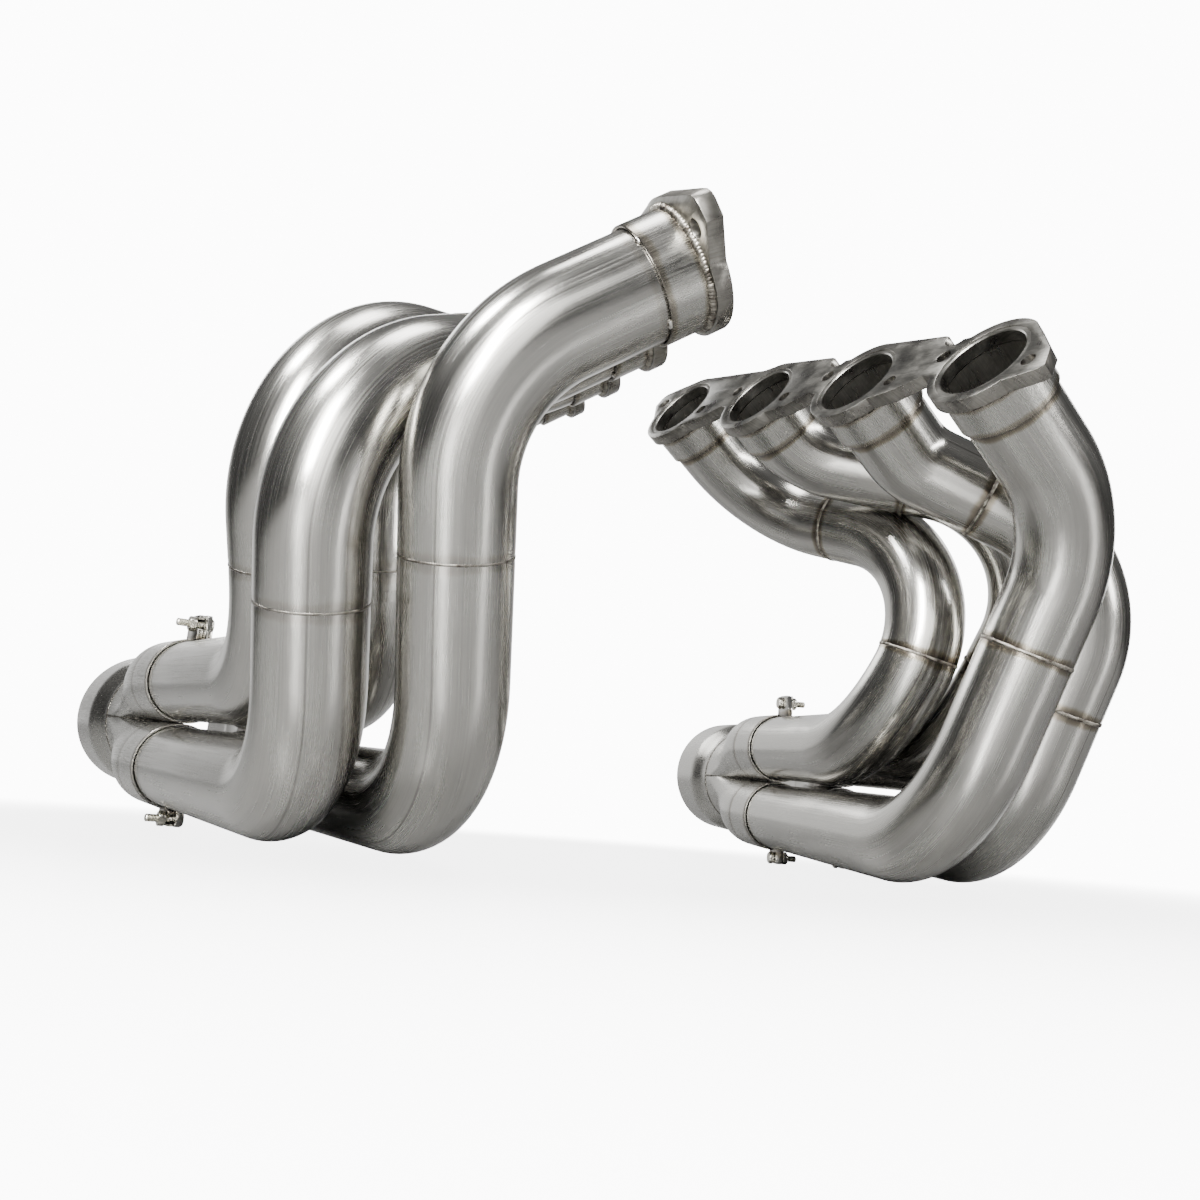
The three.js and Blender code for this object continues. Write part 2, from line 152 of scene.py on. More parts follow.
@dataclass(frozen=True)
class Metal:
    """A metal whose colour and roughness follow patterns of real size.

    Attributes:
        name: name of the material.
        base: colour of the clean metal.
        roughness: mean roughness.
    """

    name: str
    base: str
    roughness: float

    def build(self) -> bpy.types.Material:
        """Build the material."""
        material = bpy.data.materials.new(self.name)
        material.use_nodes = True
        tree = material.node_tree
        tree.nodes.clear()
        shader = add_node(tree, "ShaderNodeBsdfPrincipled", Metallic=1.0, **self.surface(tree))
        add_node(tree, "ShaderNodeOutputMaterial", Surface=shader.outputs[0])
        return material

    def surface(self, tree: bpy.types.NodeTree) -> dict[str, object]:
        """Inputs of the shader, by name, that make this metal."""
        raise NotImplementedError

    def shaded(self, tree: bpy.types.NodeTree, shade: bpy.types.NodeSocket) -> bpy.types.NodeSocket:
        """The base colour, darkened by a pattern."""
        settings = {"data_type": "RGBA", "blend_type": "MULTIPLY"}
        return add_node(
            tree, "ShaderNodeMix", settings, i0=1.0, i6=linear_colour(self.base), i7=shade
        ).outputs[2]


@dataclass(frozen=True)
class StainlessSteel(Metal):
    """Bare austenitic stainless steel, 304, as tube, rolled sleeve or formed sheet.

    Bare mill stainless looks like brushed silver: a broad soft highlight, broken along the
    draw direction by fine marks, and clouded where hands and polishing mops have been.

    Attributes:
        mark_width: width of one draw mark in mm. The real marks are about 0.1 mm and would
            not show, so they are drawn several times as coarse.
        mark_length: length of one draw mark in mm.
        mark_strength: how far the marks move the roughness.
        tint: how strong the heat colours beside the welds are, 0 to 1. The same band at a collar's rim is
            partly heat colour and partly painted shade of the rim's step.
        seam: half width in mm of the tube's own lengthwise mill weld, or 0 for none.
    """

    base: str = "#bcbab4"
    roughness: float = 0.22
    mark_width: float = 0.9
    mark_length: float = 90.0
    mark_strength: float = 0.12
    tint: float = 0.8
    seam: float = 0.0

    def surface(self, tree: bpy.types.NodeTree) -> dict[str, object]:
        """Draw marks, clouds of handling, heat colours, which at the collars' rims are partly painted shade,
        and the mill seam.
        """
        # Lengthwise along z, and round the metal in x and y.
        where = add_node(tree, "ShaderNodeAttribute", {"attribute_name": "unrolled"}).outputs["Vector"]
        marks = grain(tree, where, (self.mark_width, self.mark_width, self.mark_length), 3.0, 0.6)
        clouds = grain(tree, where, (26, 26, 70), 4.0, 0.55)
        # Rings left by the bender's dies, a few mm apart, faint.
        rings = grain(tree, where, (90, 90, 3.5), 2.0)

        half = self.mark_strength / 2
        rough = {"To_Min": -half, "To_Max": half}
        cloudy = {"To_Min": self.roughness - 0.03, "To_Max": self.roughness + 0.06}
        by_marks = add_node(tree, "ShaderNodeMapRange", Value=marks, **MIDDLE, **rough)
        by_clouds = add_node(tree, "ShaderNodeMapRange", Value=clouds, **MIDDLE, **cloudy)
        clamped = {"operation": "ADD", "use_clamp": True}
        roughness = add_node(tree, "ShaderNodeMath", clamped, i0=by_marks.outputs[0], i1=by_clouds.outputs[0])

        dark, dim = {"To_Min": 0.84, "To_Max": 1.06}, {"To_Min": 0.86, "To_Max": 1.03}
        dark_marks = add_node(tree, "ShaderNodeMapRange", Value=marks, **WIDE, **dark)
        dark_clouds = add_node(tree, "ShaderNodeMapRange", Value=clouds, **WIDE, **dim)
        times = {"operation": "MULTIPLY"}
        shade = add_node(tree, "ShaderNodeMath", times, i0=dark_marks.outputs[0], i1=dark_clouds.outputs[0])
        colour = self.shaded(tree, shade.outputs[0])
        if self.tint:
            colour = self.heat_tint(tree, colour, clouds)
        if self.seam:
            colour = self.mill_seam(tree, colour, where)

        relief = add_node(tree, "ShaderNodeMath", {"operation": "ADD"}, i0=marks, i1=rings)
        shallow = {"Strength": 0.05, "Distance": 0.25 * MM}
        bump = add_node(tree, "ShaderNodeBump", **shallow, Height=relief.outputs[0])
        return {"Base_Color": colour, "Roughness": roughness.outputs[0], "Normal": bump.outputs[0]}

    def heat_tint(
        self, tree: bpy.types.NodeTree, colour: bpy.types.NodeSocket, cloud: bpy.types.NodeSocket
    ) -> bpy.types.NodeSocket:
        """Lay the oxide colours of a weld over the clean metal. At a collar's rim the same band is partly
        painted shade of the rim's step.

        Args:
            tree: the material's tree.
            colour: the clean metal's colour.
            cloud: a noise that makes the bands uneven.

        Returns:
            The colour with its heat tint bands; at a collar's rim the band is partly painted shade.
        """
        distance = add_node(tree, "ShaderNodeAttribute", {"attribute_name": "from_weld"}).outputs["Fac"]
        wobble = add_node(tree, "ShaderNodeMapRange", Value=cloud, **MIDDLE, To_Min=110.0, To_Max=230.0)
        clamped = {"operation": "MULTIPLY", "use_clamp": True}
        along = add_node(tree, "ShaderNodeMath", clamped, i0=distance, i1=wobble.outputs[0])
        # Grey scale at the bead, then brown, straw, and clean metal 4 to 9 mm away; at a collar's rim this
        # darkening is partly painted shade.
        ramp = add_node(tree, "ShaderNodeValToRGB", Fac=along.outputs[0])
        stops = [(0.0, "#57514a"), (0.2, "#72685c"), (0.42, "#988b78"), (0.68, "#bfb6a3"), (1.0, "#ffffff")]
        elements = ramp.color_ramp.elements
        while len(elements) < len(stops):
            elements.new(0.5)
        for element, (place, code) in zip(elements, stops):
            element.position = place
            element.color = linear_colour(code)
        settings = {"data_type": "RGBA", "blend_type": "MULTIPLY"}
        mixed = add_node(tree, "ShaderNodeMix", settings, i0=self.tint, i6=colour, i7=ramp.outputs[0])
        return mixed.outputs[2]

    def mill_seam(
        self, tree: bpy.types.NodeTree, colour: bpy.types.NodeSocket, where: bpy.types.NodeSocket
    ) -> bpy.types.NodeSocket:
        """Draw the tube's own lengthwise weld, a thin darker line down one side.

        Args:
            tree: the material's tree.
            colour: the metal's colour so far.
            where: the unrolled coordinates.

        Returns:
            The colour with the line on it.
        """
        parts = add_node(tree, "ShaderNodeSeparateXYZ", Vector=where)
        aside = add_node(tree, "ShaderNodeMath", {"operation": "ABSOLUTE"}, i0=parts.outputs[1])
        edge = {"From_Min": self.seam * MM * 0.4, "From_Max": self.seam * MM, "To_Min": 0.55, "To_Max": 0.0}
        line = add_node(tree, "ShaderNodeMapRange", Value=aside.outputs[0], **edge)
        near = add_node(tree, "ShaderNodeMath", {"operation": "GREATER_THAN"}, i0=parts.outputs[0], i1=0.0)
        times = {"operation": "MULTIPLY"}
        mask = add_node(tree, "ShaderNodeMath", times, i0=line.outputs[0], i1=near.outputs[0])
        ends = {"i6": colour, "i7": linear_colour("#6f6c67")}
        return add_node(tree, "ShaderNodeMix", {"data_type": "RGBA"}, i0=mask.outputs[0], **ends).outputs[2]


@dataclass(frozen=True)
class WeldBead(Metal):
    """Stainless weld metal, laid by hand with filler: rippled, and browned by its own heat.

    Attributes:
        burnt: the darkest colour, where base is the brightest.
    """

    burnt: str

    def surface(self, tree: bpy.types.NodeTree) -> dict[str, object]:
        """Colour that wanders between bright and burnt every 6 mm, about four ripples."""
        where = add_node(tree, "ShaderNodeTexCoord").outputs["Object"]
        noise = grain(tree, where, (6, 6, 6), 3.0)
        amount = add_node(tree, "ShaderNodeMapRange", Value=noise, From_Min=0.35, From_Max=0.65)
        ends = {"i6": linear_colour(self.burnt), "i7": linear_colour(self.base)}
        colour = add_node(tree, "ShaderNodeMix", {"data_type": "RGBA"}, i0=amount.outputs[0], **ends)
        return {"Base_Color": colour.outputs[2], "Roughness": self.roughness}


@dataclass(frozen=True)
class CutPlate(Metal):
    """Laser-cut stainless plate: a milled, scratched face, or the striped edge of the cut.

    Attributes:
        striped: True for the cut edge, whose stripes run through the thickness, about
            0.5 mm apart and drawn at 1 mm to show.
    """

    striped: bool

    def surface(self, tree: bpy.types.NodeTree) -> dict[str, object]:
        """Crossed scratches or stripes, under stains some 15 mm across."""
        where = add_node(tree, "ShaderNodeTexCoord").outputs["Object"]
        lines = grain(tree, where, (1, 20, 20) if self.striped else (30, 1.2, 1.2), 3.0)
        stain = grain(tree, where, (15, 15, 15), 5.0)
        shade = add_node(tree, "ShaderNodeMapRange", Value=lines, **MIDDLE, To_Min=0.72, To_Max=1.08)
        stained = add_node(tree, "ShaderNodeMapRange", Value=stain, **MIDDLE, To_Min=0.68, To_Max=1.05)
        times = {"operation": "MULTIPLY"}
        both = add_node(tree, "ShaderNodeMath", times, i0=shade.outputs[0], i1=stained.outputs[0])
        low, high = self.roughness - 0.08, self.roughness + 0.1
        roughness = add_node(tree, "ShaderNodeMapRange", Value=stain, **MIDDLE, To_Min=low, To_Max=high)
        bump = add_node(tree, "ShaderNodeBump", Strength=0.2, Distance=0.0003, Height=lines)
        colour = self.shaded(tree, both.outputs[0])
        return {"Base_Color": colour, "Roughness": roughness.outputs[0], "Normal": bump.outputs[0]}


@dataclass(frozen=True)
class ZincPlate(Metal):
    """Bright zinc plating on small steel hardware: pale, slightly warm, softly shiny."""

    def surface(self, tree: bpy.types.NodeTree) -> dict[str, object]:
        """A pale metal, mottled every 3 mm as barrel plating is."""
        where = add_node(tree, "ShaderNodeTexCoord").outputs["Object"]
        noise = grain(tree, where, (3, 3, 3), 4.0)
        shade = add_node(tree, "ShaderNodeMapRange", Value=noise, **MIDDLE, To_Min=0.75, To_Max=1.05)
        low, high = self.roughness + 0.1, self.roughness - 0.06
        rough = add_node(tree, "ShaderNodeMapRange", Value=noise, To_Min=low, To_Max=high)
        return {"Base_Color": self.shaded(tree, shade.outputs[0]), "Roughness": rough.outputs[0]}


class Finish(Enum):
    """Every finish on the headers."""

    PALE_TUBE = StainlessSteel("drawn_stainless_tube_brushed_clean", seam=0.8, tint=0.3)
    TINTED_TUBE = StainlessSteel("drawn_stainless_tube_heat_tinted", seam=0.8, tint=0.85)
    INSIDE = StainlessSteel(
        "mill_finish_inner_skin",
        base="#b4b2ac",
        roughness=0.27,
        mark_length=260.0,
        mark_strength=0.04,
        tint=0.0,
    )
    SLEEVE = StainlessSteel(
        "rolled_stainless_sleeve", base="#b8b6b0", roughness=0.25, mark_length=18.0, seam=0.7, tint=0.7
    )
    SHEET = StainlessSteel(
        "formed_stainless_sheet", base="#bab8b2", roughness=0.26, mark_length=30.0, tint=0.25
    )
    CLEAN_WELD = WeldBead("brushed_butt_weld", base="#96928a", burnt="#5f5a53", roughness=0.3)
    BUTT_WELD = WeldBead("browned_butt_weld", base="#b0aba0", burnt="#4b453e", roughness=0.34)
    TACK_WELD = WeldBead("bright_tack_weld", base="#dad7d0", burnt="#8f877a", roughness=0.25)
    PLATE_FACE = CutPlate("ground_stainless_plate", base="#94928c", roughness=0.33, striped=False)
    PLATE_EDGE = CutPlate("laser_cut_plate_edge", base="#9c9992", roughness=0.3, striped=True)
    ZINC = ZincPlate("bright_zinc_plated_steel", base="#d2cfc4", roughness=0.26)


class Finishes:
    """Keeps one material for each finish."""

    def __init__(self) -> None:
        """Start with no material built."""
        self._built: dict[Finish, bpy.types.Material] = {}

    def __getitem__(self, finish: Finish) -> bpy.types.Material:
        """The finish's material, built the first time it is asked for."""
        if finish not in self._built:
            self._built[finish] = finish.value.build()
        return self._built[finish]


# ---- Meshes before they are placed ----------------------------------------------------------
@dataclass
class Shell:
    """A closed surface in a header's own frame, in mm, with what its finish needs to know.

    Attributes:
        points: one row a vertex.
        faces: vertex numbers, anticlockwise seen from outside.
        unrolled: for each vertex, round the metal in x and y and along it in z, in metres.
        from_weld: for each vertex, the distance to the nearest weld or collar rim, in metres. The band at a
            collar's rim is partly painted shade.
        slots: material number of each face.
    """

    points: np.ndarray
    faces: list[tuple[int, ...]]
    unrolled: np.ndarray | None = None
    from_weld: np.ndarray | None = None
    slots: list[int] | None = None

    def __post_init__(self) -> None:
        """Fill in what was left out."""
        if self.unrolled is None:
            self.unrolled = self.points * MM
        if self.from_weld is None:
            self.from_weld = np.full(len(self.points), 0.05)
        if self.slots is None:
            self.slots = [0] * len(self.faces)

    def moved(self, matrix: np.ndarray) -> "Shell":
        """The shell through a 4x4 matrix."""
        points = self.points @ matrix[:3, :3].T + matrix[:3, 3]
        return Shell(points, self.faces, self.unrolled, self.from_weld, self.slots)

    def plus(self, other: "Shell") -> "Shell":
        """This shell and another as one piece."""
        base = len(self.points)
        return Shell(
            np.vstack([self.points, other.points]),
            self.faces + [tuple(base + i for i in face) for face in other.faces],
            np.vstack([self.unrolled, other.unrolled]),
            np.concatenate([self.from_weld, other.from_weld]),
            self.slots + other.slots,
        )


def grid_shell(
    rows: np.ndarray, unrolled: np.ndarray, from_weld: np.ndarray, lined: bool = False, capped: bool = False
) -> Shell:
    """Close a grid of points round both ways into a ring-like shell, or cap it into a solid.

    Args:
        rows: points as [section point, place round, xyz]; section points run so that the
            outer skin comes first, forward, then the inner skin, back.
        unrolled: the same shape, in metres.
        from_weld: [section point, place round], in metres.
        lined: True where the second half of the section is an inner skin, which gets slot 1.
        capped: True for a solid, whose first and last section points are closed over.

    Returns:
        The shell, its faces pointing out.
    """
    count, sides = rows.shape[:2]
    faces: list[tuple[int, ...]] = []
    slots = []
    for i in range(count - 1 if capped else count):
        for j in range(sides):
            k, m = (i + 1) % count, (j + 1) % sides
            faces.append((i * sides + j, i * sides + m, k * sides + m, k * sides + j))
            slots.append(int(lined and i >= count // 2))
    if capped:
        top = (count - 1) * sides
        faces += [tuple(range(sides - 1, -1, -1)), tuple(range(top, top + sides))]
        slots += [0, 0]
    return Shell(rows.reshape(-1, 3), faces, unrolled.reshape(-1, 3), from_weld.reshape(-1), slots)


def sample(at: float | np.ndarray, distance: np.ndarray, values: np.ndarray) -> np.ndarray:
    """Vectors along a line, at one distance or at several."""
    return np.stack([np.interp(at, distance, values[:, i]) for i in range(3)], axis=-1)


def axes_matrix(origin: np.ndarray, x: np.ndarray, y: np.ndarray, z: np.ndarray) -> np.ndarray:
    """4x4 matrix of a frame from its origin and axes."""
    matrix = np.eye(4)
    matrix[:3, 0], matrix[:3, 1], matrix[:3, 2], matrix[:3, 3] = x, y, z, origin
    return matrix


def frame_along(origin: np.ndarray, direction: np.ndarray, sideways: np.ndarray) -> np.ndarray:
    """Frame with z along a direction and x as near sideways as it can be."""
    z = unit(direction)
    x = unit(sideways - z * np.dot(sideways, z))
    return axes_matrix(origin, x, np.cross(z, x), z)


def turned(
    profile: Sequence[tuple[float, float]],
    sides: int,
    welds: Iterable[float] = (),
    lined: bool = False,
    capped: bool = False,
) -> Shell:
    """Turn a profile about z.

    Args:
        profile: (radius, height) points, outer skin upward first, then inner skin down.
        sides: points round.
        welds: heights of the welds round the piece; on a collar also its rim, whose dark band is partly
            painted shade.
        lined: True where the inner skin gets slot 1.
        capped: True for a solid with flat ends and no bore.

    Returns:
        The shell.
    """
    radius = np.array([p[0] for p in profile])
    height = np.array([p[1] for p in profile])
    angle = np.arange(sides) * TAU / sides
    rows = np.stack(
        [
            radius[:, None] * np.cos(angle),
            radius[:, None] * np.sin(angle),
            np.repeat(height[:, None], sides, 1),
        ],
        axis=-1,
    )
    gaps = [np.abs(height - weld) for weld in welds]
    nearest = np.min(gaps, axis=0) if gaps else np.full(len(profile), 50.0)
    return grid_shell(rows, rows * MM, np.repeat(nearest[:, None], sides, 1) * MM, lined, capped)


def wall(
    outer: Sequence[tuple[float, float]], thickness: float, lip: float = 0.3
) -> list[tuple[float, float]]:
    """Profile of a wall of even thickness with its four corners taken off.

    Args:
        outer: (radius, height) points of the outer skin, upward.
        thickness: of the wall.
        lip: size of the taken-off corners.

    Returns:
        The closed profile.
    """
    (r0, h0), (r1, h1) = outer[0], outer[-1]
    skin = [(r0 - lip, h0), (r0, h0 + lip), *outer[1:-1], (r1, h1 - lip), (r1 - lip, h1)]
    back = [(r1 - thickness + lip, h1), (r1 - thickness, h1 - lip)]
    back += [(r - thickness, h) for r, h in reversed(outer[1:-1])]
    back += [(r0 - thickness, h0 + lip), (r0 - thickness + lip, h0)]
    return skin + back


def straight(radius: float, length: float, step: float = 1.5) -> list[tuple[float, float]]:
    """Outer skin of a straight sleeve, with points close enough for its heat colours."""
    return [(radius, float(height)) for height in np.linspace(0, length, int(length / step) + 1)]


def flat_plate(
    outline: Sequence[tuple[float, float]],
    holes: Sequence[Sequence[tuple[float, float]]],
    thickness: float,
    bevel: float,
) -> Shell:
    """Cut a flat plate with rounded edges, its mid-plane at z = 0.

    Args:
        outline: corner points, in the plane.
        holes: corner points of each hole.
        thickness: of the plate.
        bevel: size of the rounded edge.

    Returns:
        The shell, with slot 0 on its faces and slot 1 on its edges.
    """
    curve = bpy.data.curves.new("plate_outline", "CURVE")
    curve.dimensions = "2D"
    curve.fill_mode = "BOTH"
    curve.extrude = thickness / 2 - bevel
    curve.bevel_depth = bevel
    curve.bevel_resolution = 1
    curve.offset = -bevel
    for ring in [outline, *holes]:
        spline = curve.splines.new("POLY")
        spline.points.add(len(ring) - 1)
        for point, (x, y) in zip(spline.points, ring):
            point.co = (x, y, 0.0, 1.0)
        spline.use_cyclic_u = True
    helper = bpy.data.objects.new("plate_helper", curve)
    bpy.context.scene.collection.objects.link(helper)
    evaluated = helper.evaluated_get(bpy.context.evaluated_depsgraph_get())
    raw = bpy.data.meshes.new_from_object(evaluated)
    work = bmesh.new()
    work.from_mesh(raw)
    bmesh.ops.remove_doubles(work, verts=work.verts, dist=1e-3)
    bmesh.ops.dissolve_degenerate(work, edges=work.edges, dist=1e-4)
    bmesh.ops.recalc_face_normals(work, faces=work.faces)
    work.verts.index_update()
    points = np.array([v.co[:] for v in work.verts])
    faces = [tuple(v.index for v in face.verts) for face in work.faces]
    slots = [0 if abs(face.normal.z) > 0.5 else 1 for face in work.faces]
    work.free()
    bpy.data.objects.remove(helper)
    bpy.data.curves.remove(curve)
    bpy.data.meshes.remove(raw)
    return Shell(points, faces, slots=slots)


def arc(
    centre: tuple[float, float], radius: float, start: float, end: float, step: float = 4.0
) -> list[tuple[float, float]]:
    """Points along an arc, in degrees, either way round."""
    count = max(2, int(abs(end - start) / step) + 1)
    angles = np.radians(np.linspace(start, end, count))
    return [(centre[0] + radius * math.cos(a), centre[1] + radius * math.sin(a)) for a in angles]


def rounded(corners: Sequence[tuple[float, float]], radius: float) -> list[tuple[float, float]]:
    """Round every corner of a closed outline.

    Args:
        corners: corner points in order.
        radius: of each corner, or less where its sides are short.

    Returns:
        The points of the rounded outline.
    """
    result = []
    count = len(corners)
    for i in range(count):
        here = np.array(corners[i], float)
        before = np.array(corners[i - 1], float) - here
        after = np.array(corners[(i + 1) % count], float) - here
        reach = min(radius, 0.45 * np.linalg.norm(before), 0.45 * np.linalg.norm(after))
        start, end = here + unit(before) * reach, here + unit(after) * reach
        for t in (0.0, 0.25, 0.5, 0.75, 1.0):
            point = (1 - t) ** 2 * start + 2 * t * (1 - t) * here + t**2 * end
            result.append((float(point[0]), float(point[1])))
    return result


# ---- Sizes of a header ------------------------------------------------------------------------
@dataclass(frozen=True)
class Sizes:
    """Directions and sizes that a header's sub-assemblies share, in mm and degrees."""

    port_pitch: float = 111.76
    port_height: float = 381.0
    row_rise: float = 11.5
    port_tilt: float = 34.0
    plate: float = 9.5
    port_bore: float = 27.7
    tube: float = 30.165
    tube_wall: float = 1.65
    sleeve: float = 32.4
    sleeve_wall: float = 1.65
    collar_end: float = 33.5
    cup_spacing: float = 65.0
    cup_length: float = 50.0
    cup_face: tuple[float, float, float] = (78.0, 226.0, 76.0)
    collector_yaw: float = 19.5
    collector_rise: float = 3.0
    insertion: float = 45.0

    @property
    def row(self) -> np.ndarray:
        """Rearward along the ports."""
        return np.array([math.cos(math.radians(self.row_rise)), 0.0, math.sin(math.radians(self.row_rise))])

    @property
    def blow(self) -> np.ndarray:
        """The way the gas leaves a port."""
        tilt = math.radians(self.port_tilt)
        down = np.array([0.0, math.cos(tilt), -math.sin(tilt)])
        return unit(down - self.row * np.dot(down, self.row))

    @property
    def plate_up(self) -> np.ndarray:
        """Up the face of the head flange."""
        return np.cross(self.row, self.blow)

    @property
    def axis(self) -> np.ndarray:
        """Rearward along the collector."""
        yaw, rise = math.radians(self.collector_yaw), math.radians(self.collector_rise)
        return np.array([math.cos(yaw) * math.cos(rise), math.sin(yaw) * math.cos(rise), math.sin(rise)])

    @property
    def aside(self) -> np.ndarray:
        """Outward, square to the collector."""
        return unit(np.cross(UP, self.axis))

    @property
    def above(self) -> np.ndarray:
        """Upward, square to the collector."""
        return np.cross(self.axis, self.aside)

    def port(self, number: float) -> np.ndarray:
        """Centre of a port on the gasket face."""
        return np.array([0.0, 0.0, self.port_height]) - (number - 1) * self.port_pitch * self.row

    def cup(self, number: int) -> np.ndarray:
        """Centre of a cup's rim."""
        aside, above = CUP_PLACE[number]
        half = self.cup_spacing / 2
        return np.array(self.cup_face) + half * aside * self.aside + half * above * self.above


CUP_PLACE = {1: (-1, 1), 2: (1, 1), 3: (1, -1), 4: (-1, -1)}
SIZES = Sizes()


@dataclass(frozen=True)
class Bank:
    """One bank of the engine: where its header stands and which hand it is.

    Attributes:
        side: "right" or "left", as in the names of its pieces.
        mirrored: True for the mirror image.
        at: where its frame's origin stands on the floor, in mm.
        yaw: its turn about the vertical, in degrees.
        plate_turned: True where the head flange is turned end for end.
        thread: 1 where the clamp bolts' threads point towards +y of the row frame, or -1.
        tube: finish of its tubes: one header was brushed clean after welding, one was not.
        origin: shift of the whole pair, in mm.
    """

    side: str
    mirrored: bool
    at: tuple[float, float]
    yaw: float
    plate_turned: bool
    thread: int
    tube: Finish
    origin: tuple[float, float, float] = (0.0, 0.0, 0.0)

    def place(self, points: np.ndarray) -> np.ndarray:
        """Points of the header's frame, in mm, as places in the row frame, in metres."""
        points = np.array(points, float)
        if self.mirrored:
            points[:, 1] *= -1
        c, s = math.cos(math.radians(self.yaw)), math.sin(math.radians(self.yaw))
        spun = points @ np.array([[c, s, 0], [-s, c, 0], [0, 0, 1]])
        return (spun + np.array([*self.at, 0.0]) + np.array(self.origin)) * MM

    def piece(
        self, name: str, shell: Shell, materials: Sequence[bpy.types.Material], sharp: float = 38.0
    ) -> bpy.types.Object:
        """Make a Blender object of a shell.

        Args:
            name: the piece's name after its side.
            shell: what it is made of.
            materials: one for each slot of the shell.
            sharp: angle in degrees past which an edge is drawn crisp.

        Returns:
            The object, at the origin, with its place in its mesh.
        """
        mesh = bpy.data.meshes.new(f"{self.side}_{name}")
        faces = [tuple(reversed(f)) for f in shell.faces] if self.mirrored else shell.faces
        mesh.from_pydata(self.place(shell.points).tolist(), [], faces)
        mesh.attributes.new("unrolled", "FLOAT_VECTOR", "POINT").data.foreach_set(
            "vector", np.asarray(shell.unrolled, np.float32).ravel()
        )
        mesh.attributes.new("from_weld", "FLOAT", "POINT").data.foreach_set(
            "value", np.asarray(shell.from_weld, np.float32).ravel()
        )
        for material in materials:
            mesh.materials.append(material)
        mesh.polygons.foreach_set("material_index", shell.slots)
        mesh.polygons.foreach_set("use_smooth", [True] * len(mesh.polygons))
        mesh.update()
        mesh.set_sharp_from_angle(angle=math.radians(sharp))
        piece = bpy.data.objects.new(f"{self.side}_{name}", mesh)
        bpy.context.scene.collection.objects.link(piece)
        return piece


# ---- Welds, bolts and nuts: Geometry Nodes ---------------------------------------------------
@dataclass
class Stations:
    """Places for repeated small things: where each is, its turn and its size."""

    points: list[np.ndarray] = field(default_factory=list)
    axes: list[tuple[np.ndarray, np.ndarray]] = field(default_factory=list)

    def ring(self, path: np.ndarray, outward: np.ndarray, spacing: float, closed: bool = True) -> None:
        """Add evenly spaced places along a path.

        Args:
            path: points of the path, in mm.
            outward: the direction away from the metal at each of them.
            spacing: from one place to the next, in mm.
            closed: True where the path comes back to its start.
        """
        line = np.vstack([path, path[:1]]) if closed else path
        normals = np.vstack([outward, outward[:1]]) if closed else outward
        lengths = np.concatenate([[0.0], np.cumsum(np.linalg.norm(np.diff(line, axis=0), axis=1))])
        count = max(2, int(lengths[-1] / spacing))
        for distance in np.linspace(0, lengths[-1], count, endpoint=not closed):
            ahead, back = sample(distance + 0.5, lengths, line), sample(distance - 0.5, lengths, line)
            self.points.append(sample(distance, lengths, line))
            self.axes.append((unit(ahead - back), unit(sample(distance, lengths, normals))))

    def one(self, at: np.ndarray, along: np.ndarray, up: np.ndarray) -> None:
        """Add a single place."""
        self.points.append(at)
        self.axes.append((along, up))


